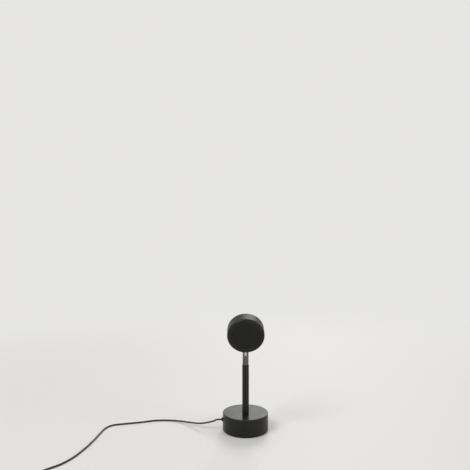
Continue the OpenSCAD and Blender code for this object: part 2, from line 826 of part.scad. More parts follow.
module lens_bezel() {
    bevel = 1.1;
    color(black) on_beam() rotate_extrude() polygon([
        [bezel_in_r, gasket_top], [lens_bore_r, gasket_top], [lens_bore_r, barrel_top],
        [barrel_r, barrel_top], [barrel_r, bezel_top - bevel], [barrel_r - bevel, bezel_top],
        [bezel_in_r + bevel, bezel_top], [bezel_in_r, bezel_top - bevel]
    ]);
}

/* Free lead */

module cord_run() { color(black) tube(run_path, cord_r, cord_sides); }

module cord_coil() {
    echo(coil_least_gap = coil_gap(), coil_length = path_length(coil_path));
    echo(run_length = path_length(run_path), rings = len(run_path) + len(tail_path) + len(link_path));
    echo(tail_length = path_length(tail_path), link_length = path_length(link_path));
    color(black) tube(coil_path, cord_r, coil_sides);
}

// Flat strip round the bundle of turns, with its two ends twisted together outside
module cord_tie() {
    low = coil_z - cord_r - tie_clear + 0.05;
    high = coil_top + cord_r + tie_clear;
    near = coil_in_r - cord_r - tie_clear;
    far = coil_out_r + cord_r + tie_clear;
    color(soft_black) translate([coil_centre[0], coil_centre[1], 0]) {
        rotate([0, 0, tie_from]) rotate_extrude(angle = tie_span) difference() {
            translate([near - tie_t, 0]) square([far - near + 2 * tie_t, high + tie_t]);
            translate([near, low]) square([far - near, high - low]);
        }
        rotate([0, 0, tie_from + tie_span / 2]) translate([far + tie_t / 2, 0, high / 2]) along_x() bar(1, 7);
    }
}

module cord_tail() { color(black) tube(tail_path, cord_r, cord_sides); }

module cord_link() { color(black) tube(link_path, cord_r, cord_sides); }

/* Push switch on the lead */

// Outline with round ends, in plan
module stadium(l, w) {
    for (s = [-1, 1]) translate([s * (l - w) / 2, 0]) circle(d = w);
    square([l - w, w], center = true);
}

// Side view of a block with two rounded top corners
module round_top(w, h, r) {
    for (s = [-1, 1]) translate([s * (w / 2 - r), h - r]) circle(r);
    translate([-w / 2 + r, 0]) square([w - 2 * r, h]);
    translate([-w / 2, 0]) square([w, h - r]);
}

// The whole switch block, inset by t, its floor at t
module switch_block(t) {
    l = switch_l - 2 * t;
    w = switch_w - 2 * t;
    h = switch_h - 2 * t;
    r = max(switch_round - t, 0.4);
    translate([0, 0, t]) intersection() {
        linear_extrude(h) stadium(l, w);
        rotate([90, 0, 0]) linear_extrude(w, center = true) round_top(l, h, r);
        rotate([90, 0, 90]) linear_extrude(l, center = true) round_top(w, h, r);
    }
}

module at_switch() { translate([switch_cx, switch_y, 0]) children(); }

module switch_nozzles() {
    for (s = [-1, 1]) translate([s * (switch_l / 2 + nozzle_l / 2 - 1), 0, switch_split])
        rotate([0, 90, 0]) cylinder(r = nozzle_r, h = nozzle_l + 2, center = true);
}

module switch_body_solid() {
    difference() {
        union() {
            switch_block(0);
            switch_nozzles();
        }
        switch_block(switch_wall);
        translate([-switch_l, 0, switch_split]) along_x() bar(cord_r, 2 * switch_l);
    }
}

module switch_screw_places() {
    for (s = [-1, 1]) translate([s * switch_post_x, s * switch_post_y, 0]) children();
}

module switch_lower() {
    color(black) at_switch() difference() {
        intersection() {
            switch_body_solid();
            translate([-switch_l, -switch_w, 0]) cube([2 * switch_l, 2 * switch_w, switch_split]);
        }
        switch_screw_places() {
            translate([0, 0, -past]) bar(small_screw_r, switch_wall + 2 * past);
            translate([0, 0, -past]) bar(small_head_r, small_head_h + 0.2 + past);
        }
    }
}

module switch_upper() {
    color(black) at_switch() difference() {
        union() {
            intersection() {
                switch_body_solid();
                translate([-switch_l, -switch_w, switch_split]) cube([2 * switch_l, 2 * switch_w, switch_h]);
            }
            switch_screw_places() translate([0, 0, switch_wall])
                bar(switch_post_r, switch_roof - switch_wall + slice);
        }
        translate([0, 0, switch_split]) bar(button_d / 2 + button_gap, switch_h);
        switch_screw_places() translate([0, 0, switch_wall - past]) bar(small_screw_r, 5 + past);
    }
}

module switch_screws() {
    color(steel) at_switch() switch_screw_places() {
        translate([0, 0, 0.2]) bar(small_head_r, small_head_h);
        translate([0, 0, 0.2]) bar(small_screw_r, switch_wall + 4);
    }
}

// Latching contact block under the button
module switch_module() {
    color("#2b2a2e") at_switch() translate([0, 0, switch_wall]) difference() {
        translate([-module_w / 2, -module_w / 2, 0]) cube([module_w, module_w, module_h]);
        translate([0, 0, module_h - 1]) bar(button_stem_r + button_gap, 1 + past);
    }
}

module switch_button() {
    dish = 0.3;
    dish_r = 14;
    flange_top = switch_roof - button_gap;
    stem_low = switch_wall + module_h - 1 + button_travel + 0.3;
    top = switch_h + button_out;
    color("#2a2826") at_switch() difference() {
        union() {
            translate([0, 0, flange_top - flange_t]) bar(flange_r, flange_t);
            translate([0, 0, flange_top - slice]) bar(button_d / 2, top - flange_top - 0.4 + slice);
            translate([0, 0, top - 0.4]) cylinder(r1 = button_d / 2, r2 = button_d / 2 - 0.4, h = 0.4);
            translate([0, 0, stem_low]) bar(button_stem_r, flange_top - flange_t - stem_low + slice);
        }
        translate([0, 0, top - dish + dish_r]) sphere(r = dish_r);
    }
}

/* Plug */

// Rounded rectangle, in plan
module round_rect(l, w, r) {
    square([l - 2 * r, w], center = true);
    square([l, w - 2 * r], center = true);
    for (x = [-1, 1]) for (y = [-1, 1]) translate([x * (l / 2 - r), y * (w / 2 - r)]) circle(r);
}

module at_plug() { translate([0, switch_y, plug_z]) children(); }

module plug_grip() {
    corner = 2.5;
    edge = 1.2;
    cuts = 3;
    cut_w = 1;
    cut_pitch = 2.4;
    ridges = 5;
    ridge_r = 0.6;
    color(black) at_plug() difference() {
        union() {
            intersection() {
                translate([grip_x + grip_l / 2, 0, 0]) linear_extrude(grip_h, center = true)
                    round_rect(grip_l, grip_w, corner);
                translate([grip_x - past, 0, 0]) rotate([90, 0, 90]) linear_extrude(grip_l + 2 * past)
                    round_rect(grip_w, grip_h, edge);
            }
            translate([plug_x, 0, 0]) along_x()
                cylinder(r1 = cord_r + 0.6, r2 = plug_z - 0.8, h = relief_l + 0.5);
        }
        for (i = [0 : cuts - 1]) translate([plug_x + 1.5 + i * cut_pitch, 0, 0]) along_x() difference() {
            bar(plug_z + past, cut_w);
            translate([0, 0, -past]) bar(cord_r + 0.4 + i * 0.5, cut_w + 2 * past);
        }
        for (s = [-1, 1]) for (i = [0 : ridges - 1])
            translate([grip_x + 6 + cut_pitch * i, s * (grip_w / 2 + 0.2), 0])
                cylinder(r = ridge_r, h = grip_h + past, center = true);
        translate([sleeve_x - sleeve_grip, 0, 0]) rotate([90, 0, 90])
            linear_extrude(sleeve_grip + past) round_rect(sleeve_w, sleeve_h, sleeve_round);
    }
}

module plug_sleeve() {
    window = [2, 2.3];
    color(steel) at_plug() translate([sleeve_x - sleeve_grip, 0, 0]) difference() {
        rotate([90, 0, 90]) linear_extrude(sleeve_grip + sleeve_l) difference() {
            round_rect(sleeve_w, sleeve_h, sleeve_round);
            round_rect(sleeve_w - 2 * sleeve_t, sleeve_h - 2 * sleeve_t, sleeve_in_round);
        }
        for (s = [-1, 1]) translate([sleeve_grip + 6, s * sleeve_w / 5 - window[1] / 2, -sleeve_h])
            cube([window[0], window[1], 2 * sleeve_h]);
    }
}

module plug_carrier() {
    carrier_w = sleeve_w - 2 * sleeve_t - 2 * sleeve_in_round;
    color("#e8e8e6") at_plug()
        translate([sleeve_x - sleeve_grip, -carrier_w / 2, sleeve_h / 2 - sleeve_t - carrier_t])
            cube([sleeve_grip + sleeve_l - 1, carrier_w, carrier_t]);
}

module plug_contacts() {
    color("#d9b45a") at_plug() for (i = [-1.5 : 1 : 1.5])
        translate([sleeve_x + 1, (i * contact_pitch) - contact_w / 2,
            sleeve_h / 2 - sleeve_t - carrier_t - contact_t])
            cube([sleeve_l - 3, contact_w, contact_t]);
}

base_shell();
base_ballast();
base_plate();
foot_pad();
base_screws();
pole_tube();
pole_nipple();
nipple_nut();
nipple_washer();
swivel_bush();
cord_grommet();
cord_stop();
inner_lead();
neck_fork();
neck_clip();
tilt_screw();
friction_washers();
head_tongue();
stud_nut();
head_housing();
rear_cover();
heat_spreader();
light_board();
light_chip();
board_screws();
head_leads();
reflector();
colour_filter();
filter_spacer();
front_barrel();
lens();
lens_gasket();
lens_bezel();
cord_run();
cord_coil();
cord_tie();
cord_tail();
cord_link();
switch_lower();
switch_upper();
switch_screws();
switch_module();
switch_button();
plug_grip();
plug_sleeve();
plug_carrier();
plug_contacts();
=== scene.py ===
"""Dresses the sunset projection lamp: its metal shells, knuckle, optics, lead, switch and plug, in a plain
pale studio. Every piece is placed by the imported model, and stands for the solids that it covers."""

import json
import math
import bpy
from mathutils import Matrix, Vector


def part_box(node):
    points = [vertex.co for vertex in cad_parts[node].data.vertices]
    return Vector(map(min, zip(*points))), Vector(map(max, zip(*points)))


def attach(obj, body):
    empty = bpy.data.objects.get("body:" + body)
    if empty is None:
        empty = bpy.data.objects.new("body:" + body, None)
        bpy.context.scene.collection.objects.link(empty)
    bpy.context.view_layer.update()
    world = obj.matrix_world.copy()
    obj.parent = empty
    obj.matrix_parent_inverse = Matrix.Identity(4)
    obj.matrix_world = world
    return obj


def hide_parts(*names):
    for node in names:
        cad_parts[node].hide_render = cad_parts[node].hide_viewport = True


bl_info = {
    "name": "Sunset Lamp Dressing",
    "version": (1, 0, 0),
    "blender": (4, 5, 0),
    "location": "View3D > Sidebar > Sunset Lamp",
    "description": "Builds the visible surfaces, the lead and the studio of a sunset projection lamp",
    "category": "Object",
}

from collections import namedtuple

import bmesh
import bpy
import numpy as np
from bpy.props import FloatProperty, FloatVectorProperty, IntProperty, PointerProperty

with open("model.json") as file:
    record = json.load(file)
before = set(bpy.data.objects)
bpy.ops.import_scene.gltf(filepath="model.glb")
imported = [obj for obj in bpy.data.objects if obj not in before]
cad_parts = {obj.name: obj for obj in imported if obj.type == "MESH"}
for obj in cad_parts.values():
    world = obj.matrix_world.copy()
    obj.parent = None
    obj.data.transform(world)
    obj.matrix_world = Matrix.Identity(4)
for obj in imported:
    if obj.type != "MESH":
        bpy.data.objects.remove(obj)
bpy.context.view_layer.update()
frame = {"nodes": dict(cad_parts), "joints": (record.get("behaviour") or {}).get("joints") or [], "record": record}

MM = 0.001
UP = np.array([0.0, 0.0, 1.0])
ACROSS = np.array([1.0, 0.0, 0.0])
ALONG = np.array([0.0, 1.0, 0.0])

# ---------------------------------------------------------------- sizes and colours

LENGTH = {"unit": "LENGTH", "precision": 5}
POWER = {"unit": "POWER"}
COLOUR = {"subtype": "COLOR"}


class LampSizes(bpy.types.PropertyGroup):
    """Roundings and gaps of the visible surfaces."""

    base_edge: FloatProperty(
        name="Base edge", description="Rounding of the base's top edge", default=1.1 * MM, **LENGTH)
    pole_edge: FloatProperty(
        name="Pole edge", description="Rounding of the pole's top edge", default=0.25 * MM, **LENGTH)
    head_edge: FloatProperty(
        name="Head edge", description="Rounding of the head's rear edge", default=3 * MM, **LENGTH)
    lip_edge: FloatProperty(
        name="Lip edge", description="Rounding of the head's front edge", default=0.5 * MM, **LENGTH)
    groove: FloatProperty(
        name="Cover groove", description="Width and depth of the groove round the rear cover",
        default=0.4 * MM, **LENGTH)
    bezel_bevel: FloatProperty(
        name="Bezel bevel", description="Bevel of the ring that holds the lens", default=1.1 * MM, **LENGTH)
    fine_edge: FloatProperty(
        name="Fine edge", description="Rounding of small turned edges", default=0.15 * MM, **LENGTH)
    fork_edge: FloatProperty(
        name="Fork edge", description="Bevel of the knuckle's fork", default=0.22 * MM, **LENGTH)
    tongue_edge: FloatProperty(
        name="Tongue edge", description="Bevel of the knuckle's tongue", default=0.2 * MM, **LENGTH)
    screw_edge: FloatProperty(
        name="Screw edge", description="Bevel of the knuckle's screw", default=0.12 * MM, **LENGTH)
    switch_edge: FloatProperty(
        name="Switch edge", description="Rounding of the switch's top edge", default=2 * MM, **LENGTH)
    sleeve_edge: FloatProperty(
        name="Sleeve edge", description="Bevel of the plug's sheet metal", default=0.07 * MM, **LENGTH)
    sides: IntProperty(
        name="Sides", description="Points round a large turned piece", default=160, min=24)


class LampFinish(bpy.types.PropertyGroup):
    """Colours and gloss of the lamp's finishes."""

    coat: FloatVectorProperty(
        name="Coat", description="Colour of the satin black coat", default=(0.0085, 0.0082, 0.008), **COLOUR)
    coat_gloss: FloatProperty(
        name="Coat roughness", description="Middle roughness of the satin black coat",
        default=0.4, subtype="FACTOR")
    neck: FloatVectorProperty(
        name="Neck", description="Colour of the dark nickel neck", default=(0.13, 0.124, 0.118), **COLOUR)
    steel: FloatVectorProperty(
        name="Steel", description="Colour of the plated steel pieces", default=(0.50, 0.485, 0.46), **COLOUR)
    vinyl: FloatVectorProperty(
        name="Vinyl", description="Colour of the lead's soft vinyl", default=(0.012, 0.012, 0.012), **COLOUR)
    plastic: FloatVectorProperty(
        name="Plastic", description="Colour of the switch and plug mouldings",
        default=(0.015, 0.015, 0.016), **COLOUR)
    amber: FloatVectorProperty(
        name="Amber", description="Colour of the filter behind the lens", default=(1.0, 0.25, 0.02), **COLOUR)


class LampLead(bpy.types.PropertyGroup):
    """Facts of the free lead."""

    length: FloatProperty(
        name="Length", description="Length of the lead from the base to the plug", default=1.5, **LENGTH)
    diameter: FloatProperty(
        name="Diameter", description="Diameter of the lead", default=2.6 * MM, **LENGTH)
    turns: FloatProperty(
        name="Turns", description="Turns of the coil of spare length", default=10.25)
    layers: IntProperty(
        name="Layers", description="Layers of the coil", default=4)
    coil_middle: FloatProperty(
        name="Coil", description="Diameter of the coil at the middle of its turns", default=30 * MM, **LENGTH)
    turn_gap: FloatProperty(
        name="Turn gap", description="Gap between neighbouring turns and layers", default=0.5 * MM, **LENGTH)


class LampStudio(bpy.types.PropertyGroup):
    """Floor, light and camera."""

    floor: FloatVectorProperty(
        name="Floor", description="Colour of the floor", default=(0.80, 0.79, 0.775), **COLOUR)
    surround: FloatVectorProperty(
        name="Surround", description="Colour seen past the floor", default=(0.80, 0.795, 0.785), **COLOUR)
    ambient: FloatProperty(
        name="Ambient", description="Strength of the light from all round", default=0.38)
    key: FloatProperty(name="Key", description="Power of the main soft light", default=50.0, **POWER)
    fill: FloatProperty(name="Fill", description="Power of the second soft light", default=18.0, **POWER)
    rim: FloatProperty(name="Rim", description="Power of the light behind", default=30.0, **POWER)
    lens: FloatProperty(
        name="Lens", description="Focal length of the camera", default=37.76 * MM,
        subtype="DISTANCE_CAMERA")
    place: FloatVectorProperty(
        name="Camera", description="Place of the camera", subtype="TRANSLATION", unit="LENGTH",
        default=(-17.3 * MM, -818 * MM, 322.3 * MM))


def sizes():
    return bpy.context.scene.lamp_sizes


def lead_radius():
    return bpy.context.scene.lamp_lead.diameter / 2


# ---------------------------------------------------------------- what the frame says

Axis = namedtuple("Axis", "origin way")
Turned = namedtuple("Turned", "inner outer low high")

BODY_OF = {
    node: body
    for body, nodes in frame["record"]["behaviour"]["bodies"].items()
    for node in nodes
}
SLOT_OF = {row["node"]: row["material_slot"] for row in frame["record"]["subparts"]}


def read(rows, key, width=1, kind=float):
    """One property of all of a mesh's points, edges, corners or faces. A vector gives a row for each."""
    flat = np.empty(len(rows) * width, kind)
    rows.foreach_get(key, flat)
    return flat.reshape(-1, width) if width > 1 else flat


def points_of(node):
    """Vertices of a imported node, one row each."""
    return read(frame["nodes"][node].data.vertices, "co", 3)


def turned(node, axis):
    """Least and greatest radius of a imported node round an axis, and its reach along the axis."""
    offset = points_of(node) - axis.origin
    along = offset @ axis.way
    radius = np.linalg.norm(offset - along[:, None] * axis.way, axis=1)
    return Turned(radius.min(), radius.max(), along.min(), along.max())


def corners(node):
    """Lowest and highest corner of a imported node, as arrays."""
    low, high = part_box(node)
    return np.array(low), np.array(high)


def middle(node):
    """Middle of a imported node's box."""
    low, high = corners(node)
    return (low + high) / 2


def beam_axis():
    """Axis of the light: from the middle of the head's rear face. The head's upper limit is straight up."""
    tilt = next(joint for joint in frame["joints"] if joint["name"] == "head_tilt")
    lift = math.radians(90 - tilt["range_deg"][1])
    way = np.array([0, math.cos(lift), math.sin(lift)])
    upward = np.array([0, -math.sin(lift), math.cos(lift)])
    pivot = np.array(tilt["pos_m"])
    offset = points_of("rear_cover") - pivot
    rise = offset @ upward
    return Axis(pivot + upward * (rise.min() + rise.max()) / 2 + way * (offset @ way).min(), way)


BASE_AXIS = Axis(np.zeros(3), UP)
POLE_AXIS = Axis(middle("pole_tube") * [1, 1, 0], UP)
OUTLET_AXIS = Axis(middle("cord_grommet") * [0, 1, 1], -ACROSS)
SWITCH_AXIS = Axis(middle("switch_button") * [1, 1, 0], UP)
BEAM = beam_axis()

# ---------------------------------------------------------------- surfaces

HOLD = 0.15  # place of the point beside a fillet, as a share of the fillet's reach
MEET = 1e-7  # points of a new piece that are closer than this, in metres, are one
NODE_MEET = 2e-6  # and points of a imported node
FLAT = 0.5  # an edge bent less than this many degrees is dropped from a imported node's copy
SHARP = 35  # an edge bent more than this many degrees is shaded sharp
WORN = (300, 2000)  # bend of an edge, per metre, from which it is worn and gets a painted highlight, and at which it is all worn
DUSTY = 0.55  # upward share of the normal from which a surface holds dust
SLIVER = 0.01 * MM  # what is left of a flat side between two full roundings
FIT = 0.02 * MM  # gap between two faces that lie together
EDGE = 0.3 * MM  # fillet of a plain outer edge


def rounded(*corner_list, steps=6):
    """A polyline through corners (a, b) or (a, b, fillet). A fillet is the circular arc tangent to both
    sides, as a rational quadratic: (s*s*S + 2*s*t*w*C + t*t*E) / (s*s + 2*s*t*w + t*t), where C is the
    corner, S and E are where the arc leaves its sides, and w is the sine of half the corner's angle. One
    more point before and after the arc keeps its shading off the sides."""
    places = [np.array(c[:2], float) for c in corner_list]
    line = []
    for i, c in enumerate(corner_list):
        radius = c[2] if len(c) > 2 else 0
        if radius <= 0:
            line.append(places[i][None])
            continue
        to_last = places[i - 1] - places[i]
        to_next = places[(i + 1) % len(places)] - places[i]
        to_last, to_next = to_last / np.linalg.norm(to_last), to_next / np.linalg.norm(to_next)
        half = math.acos(np.clip(to_last @ to_next, -1, 1)) / 2
        reach = radius / math.tan(half)
        t = np.linspace(0, 1, steps + 1)[:, None]
        s, w = 1 - t, math.sin(half)
        start, end = places[i] + to_last * reach, places[i] + to_next * reach
        arc = (s * s * start + 2 * s * t * w * places[i] + t * t * end) / (s * s + 2 * s * t * w + t * t)
        line += [start[None] + to_last * reach * HOLD, arc, end[None] + to_next * reach * HOLD]
    return np.concatenate(line)


def surface(name, grid, ring=False, sharp=SHARP):
    """A closed skin over a grid of points: columns go round, rows follow the profile, and ring joins the
    last row to the first. Rows whose points all meet become a pole, and other open ends are closed flat.
    The map's u is the share of the way round, and v is the length along the profile."""
    rows, columns = grid.shape[:2]
    down, along = np.meshgrid(np.arange(rows if ring else rows - 1), np.arange(columns), indexing="ij")
    below, right = (down + 1) % rows, (along + 1) % columns
    quads = np.stack([down * columns + along, down * columns + right,
                      below * columns + right, below * columns + along], -1).reshape(-1, 4)
    step = np.linalg.norm(np.diff(grid, axis=0, append=grid[:1]), axis=2).mean(axis=1)
    length = np.concatenate([[0], np.cumsum(step)])
    u = np.stack([along, along + 1, along + 1, along], -1) / columns
    v = np.stack([length[down], length[down], length[down + 1], length[down + 1]], -1)
    faces, maps = quads.tolist(), [np.stack([u, v], -1).reshape(-1, 2)]
    if not ring:
        for end in (0, rows - 1):
            if np.ptp(grid[end], axis=0).max() > MEET:
                faces.append((end * columns + np.arange(columns)).tolist())
                maps.append(np.full((columns, 2), length[end]))
    mesh = bpy.data.meshes.new(name)
    mesh.from_pydata(grid.reshape(-1, 3).tolist(), [], faces)
    mesh.uv_layers.new(name="Profile").data.foreach_set("uv", np.concatenate(maps).ravel())
    return placed(name, mesh, sharp)


def placed(name, mesh, sharp=SHARP):
    """Merges poles, points the faces outwards, shades the mesh smooth and marks its worn edges, which also get a
    painted highlight.
    """
    work = bmesh.new()
    work.from_mesh(mesh)
    bmesh.ops.remove_doubles(work, verts=work.verts, dist=MEET)
    bmesh.ops.recalc_face_normals(work, faces=work.faces)
    if work.calc_volume(signed=True) < 0:
        bmesh.ops.reverse_faces(work, faces=work.faces)
    work.to_mesh(mesh)
    work.free()
    mesh.shade_smooth()
    mesh.set_sharp_from_angle(angle=math.radians(sharp))
    mark_edges(mesh)
    piece = bpy.data.objects.new(name, mesh)
    bpy.context.scene.collection.objects.link(piece)
    return piece


def mark_edges(mesh):
    """Stores how worn and how dusty each point of a closed mesh is, from 0 to 1. Wear is the greatest bend
    of its convex edges: the angle between an edge's two faces over their mean width. The same share sets
    the painted highlight along rounded edges. Dust is how far its normal faces up."""
    normal, centre = read(mesh.polygons, "normal", 3), read(mesh.polygons, "center", 3)
    area, ends = read(mesh.polygons, "area"), read(mesh.edges, "vertices", 2, np.int32)
    edge_of, points = read(mesh.loops, "edge_index", 1, np.int32), read(mesh.vertices, "co", 3)
    face_of = np.repeat(np.arange(len(area)), read(mesh.polygons, "loop_total", 1, np.int32))
    one, two = face_of[np.argsort(edge_of, kind="stable")].reshape(-1, 2).T
    length = np.linalg.norm(points[ends[:, 0]] - points[ends[:, 1]], axis=1)
    angle = np.arccos(np.clip((normal[one] * normal[two]).sum(axis=1), -1, 1))
    convex = (normal[one] * (centre[two] - centre[one])).sum(axis=1) < 0
    bend = np.where(convex, angle * length * 2 / (area[one] + area[two]), 0)
    most = np.zeros(len(points))
    np.maximum.at(most, ends.ravel(), np.repeat(bend, 2))
    wear = np.clip((most - WORN[0]) / (WORN[1] - WORN[0]), 0, 1)
    upward = read(mesh.vertex_normals, "vector", 3)[:, 2]
    dust = np.clip((upward - DUSTY) / (1 - DUSTY), 0, 1)
    for name, share in (("wear", wear), ("dust", dust)):
        mesh.attributes.new(name, "FLOAT", "POINT").data.foreach_set("value", share.astype(np.float32))


def lathe(name, profile, axis, ring=False, sides=None):
    """Turns a profile of (radius, height) round an axis: origin + height*way + radius*(cos, sin) of the
    two directions square to it."""
    side = np.cross(axis.way, ACROSS if abs(axis.way[0]) < 0.9 else UP)
    side = side / np.linalg.norm(side)
    other = np.cross(axis.way, side)
    turn = np.linspace(0, 2 * math.pi, sides or sizes().sides, endpoint=False)
    round_it = np.cos(turn)[:, None] * side + np.sin(turn)[:, None] * other
    radius, height = profile[:, 0, None, None], profile[:, 1, None, None]
    return surface(name, axis.origin + height * axis.way + radius * round_it, ring)


def box_outline(half_length, half_width, corner, inset, steps=10, between=0):
    """Rings of a rectangle with round corners, one for each inset: every corner's arc keeps its centre and
    loses the inset from its radius. Each side between two corners has some more points, evenly apart."""
    turn = np.concatenate([np.linspace(k, k + 1, steps) for k in range(4)]) * math.pi / 2
    reach = np.repeat([[1, 1], [-1, 1], [-1, -1], [1, -1]], steps, axis=0)
    centre = reach * [half_length - corner, half_width - corner]
    radius = corner - np.atleast_1d(inset)[:, None]
    ring = np.stack([centre[:, 0] + radius * np.cos(turn), centre[:, 1] + radius * np.sin(turn)], -1)
    side = steps - 1 + np.linspace(0, 1, between + 2)[1:-1]
    place = np.concatenate([k * steps + np.concatenate([np.arange(steps), side]) for k in range(4)])
    whole = place.astype(int)
    share = (place - whole)[:, None]
    return ring[:, whole] * (1 - share) + ring[:, (whole + 1) % len(turn)] * share


def tube(name, path, radius, sides):
    """Carries a circle along a path that is never upright: its sides are the cross product of the path's
    direction and up, and the one square to both."""
    heading = np.gradient(path, axis=0)
    heading /= np.linalg.norm(heading, axis=1)[:, None]
    side = np.cross(heading, UP)
    side /= np.linalg.norm(side, axis=1)[:, None]
    lift = np.cross(side, heading)
    turn = np.linspace(0, 2 * math.pi, sides, endpoint=False)[None, :, None]
    round_it = np.cos(turn) * side[:, None] + np.sin(turn) * lift[:, None]
    return surface(name, path[:, None] + radius * round_it)


def dress(piece, *nodes):
    """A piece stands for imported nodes: it rides on their body and takes their finish."""
    slot = SLOT_OF[nodes[0]]
    piece.data.materials.clear()
    piece.data.materials.append(material(slot))
    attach(piece, BODY_OF[nodes[0]])
    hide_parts(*nodes)
    return piece


def bevelled(name, node, width, segments=2):
    """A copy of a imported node's own mesh, welded, with its sharp edges rounded by a bevel."""
    work = bmesh.new()
    work.from_mesh(frame["nodes"][node].data)
    bmesh.ops.remove_doubles(work, verts=work.verts, dist=NODE_MEET)
    bmesh.ops.dissolve_limit(work, angle_limit=math.radians(FLAT), verts=work.verts, edges=work.edges)
    mesh = bpy.data.meshes.new(name)
    work.to_mesh(mesh)
    work.free()
    draft = bpy.data.objects.new(name + ".draft", mesh)
    bpy.context.scene.collection.objects.link(draft)
    bevel = draft.modifiers.new("Edges", "BEVEL")
    bevel.width, bevel.segments = width, segments
    bevel.limit_method, bevel.angle_limit = "ANGLE", math.radians(SHARP)
    bpy.context.view_layer.update()
    shaped = bpy.data.meshes.new_from_object(draft.evaluated_get(bpy.context.evaluated_depsgraph_get()))
    bpy.data.objects.remove(draft)
    bpy.data.meshes.remove(mesh)
    shaped.name = name
    piece = placed(name, shaped)
    piece.modifiers.new("Flat faces", "WEIGHTED_NORMAL").keep_sharp = True
    return dress(piece, node)


def spun(name, node, axis, *corner_list, steps=6, ring=False, sides=None):
    """A profile of rounded corners turned round an axis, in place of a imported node."""
    return dress(lathe(name, rounded(*corner_list, steps=steps), axis, ring, sides), node)


# ---------------------------------------------------------------- finishes

MIDDLE = (0.3, 0.7)  # most of a noise's values lie between these


def wired(tree, kind, inputs, **values):
    """Adds a shader node to a tree. Each input, by name or number, is linked to a socket or set to a
    value, and None leaves it alone."""
    node = tree.nodes.new("ShaderNode" + kind)
    for key, value in values.items():
        setattr(node, key, value)
    for key, value in inputs.items():
        if isinstance(value, bpy.types.NodeSocket):
            tree.links.new(value, node.inputs[key])
        elif value is not None:
            node.inputs[key].default_value = value
    return node


def lighter(colour, factor):
    """A colour times a factor, up to white."""
    return tuple(min(c * factor, 1) for c in colour[:3])


class Recipe:
    """One procedural material, made of nodes that read Object coordinates or the piece's own map."""

    def __init__(self, name, **constants):
        """Constants are set on the shader's own sockets, and underscores in their names stand for spaces."""
        self.material = bpy.data.materials.new(name)
        self.material.use_nodes = True
        self.tree = self.material.node_tree
        self.tree.nodes.clear()
        sockets = {key.replace("_", " "): value for key, value in constants.items()}
        self.shader = self.node("BsdfPrincipled", sockets)
        self.out = self.node("OutputMaterial", {"Surface": self.shader.outputs["BSDF"]})
        self.place = self.node("TexCoord", {}).outputs
        self.relief = None

    def node(self, kind, inputs, **values):
        return wired(self.tree, kind, inputs, **values)

    def coords(self, stretch=(1, 1, 1), source="Object"):
        return self.node("Mapping", {"Vector": self.place[source], "Scale": stretch}).outputs["Vector"]

    def noise(self, scale, detail=2.0, rough=0.5, stretch=(1, 1, 1), source="Object"):
        place = self.coords(stretch, source)
        inputs = {"Vector": place, "Scale": scale, "Detail": detail, "Roughness": rough}
        return self.node("TexNoise", inputs).outputs["Fac"]

    def rings(self, scale):
        """Fine rings round the beam."""
        inputs = {"W": self.from_axis(BEAM), "Scale": scale}
        return self.node("TexNoise", inputs, noise_dimensions="1D").outputs["Fac"]

    def cells(self, scale):
        """Distance from the middle of round cells."""
        return self.node("TexVoronoi", {"Vector": self.coords(), "Scale": scale}).outputs["Distance"]

    def from_axis(self, axis):
        """Distance from an axis in metres: the length of (place - origin) x way."""
        offset = self.node("VectorMath", {0: self.place["Object"], 1: axis.origin}, operation="SUBTRACT")
        cross = self.node("VectorMath", {0: offset.outputs[0], 1: axis.way}, operation="CROSS_PRODUCT")
        return self.node("VectorMath", {0: cross.outputs[0]}, operation="LENGTH").outputs["Value"]

    def ramp(self, value, low, high, to_low=0.0, to_high=1.0):
        """Maps low..high of a value to to_low..to_high, smoothly and within them."""
        inputs = {"Value": value, "From Min": low, "From Max": high, "To Min": to_low, "To Max": to_high}
        return self.node("MapRange", inputs, interpolation_type="SMOOTHSTEP").outputs["Result"]

    def times(self, a, b):
        return self.node("Math", {0: a, 1: b}, operation="MULTIPLY").outputs["Value"]

    def total(self, first, *more):
        """The sum of several values."""
        for value in more:
            first = self.node("Math", {0: first, 1: value}, operation="ADD").outputs["Value"]
        return first

    def mix(self, share, a, b):
        """Colour a where the share is 0, and b where it is 1."""
        a, b = ((*colour, 1) if isinstance(colour, tuple) else colour for colour in (a, b))
        return self.node("Mix", {0: share, 6: a, 7: b}, data_type="RGBA").outputs[2]

    def shaded(self, pattern, colour, dark, light, span=MIDDLE):
        """A colour that a pattern takes from dark times to light times itself."""
        return self.mix(self.ramp(pattern, *span), lighter(colour, dark), lighter(colour, light))

    def bump(self, height, distance, strength=1.0):
        """Adds a layer of relief over the layers before it."""
        inputs = {"Height": height, "Distance": distance, "Strength": strength, "Normal": self.relief}
        self.relief = self.node("Bump", inputs).outputs["Normal"]

    def marked(self, name, patches):
        """A piece's stored wear (whose share also places the painted edge highlight) or dust, times an amount or
        broken up by patches.
        """
        return self.times(self.node("Attribute", {}, attribute_name=name).outputs["Fac"], patches)

    def worn(self):
        """How worn the edges are here."""
        return self.marked("wear", self.ramp(self.noise(260, 5, 0.6), 0.3, 0.75))

    def dusty(self, most):
        """Faint dust on what faces up."""
        return self.marked("dust", self.ramp(self.noise(260, 6, 0.7), 0.5, 0.78, 0, most))

    def painted(self, tone=None, gloss=None):
        """The material, with its colour, roughness and relief fed to the shader."""
        for key, value in (("Base Color", tone), ("Roughness", gloss), ("Normal", self.relief)):
            if value is not None:
                self.tree.links.new(value, self.shader.inputs[key])
        return self.material


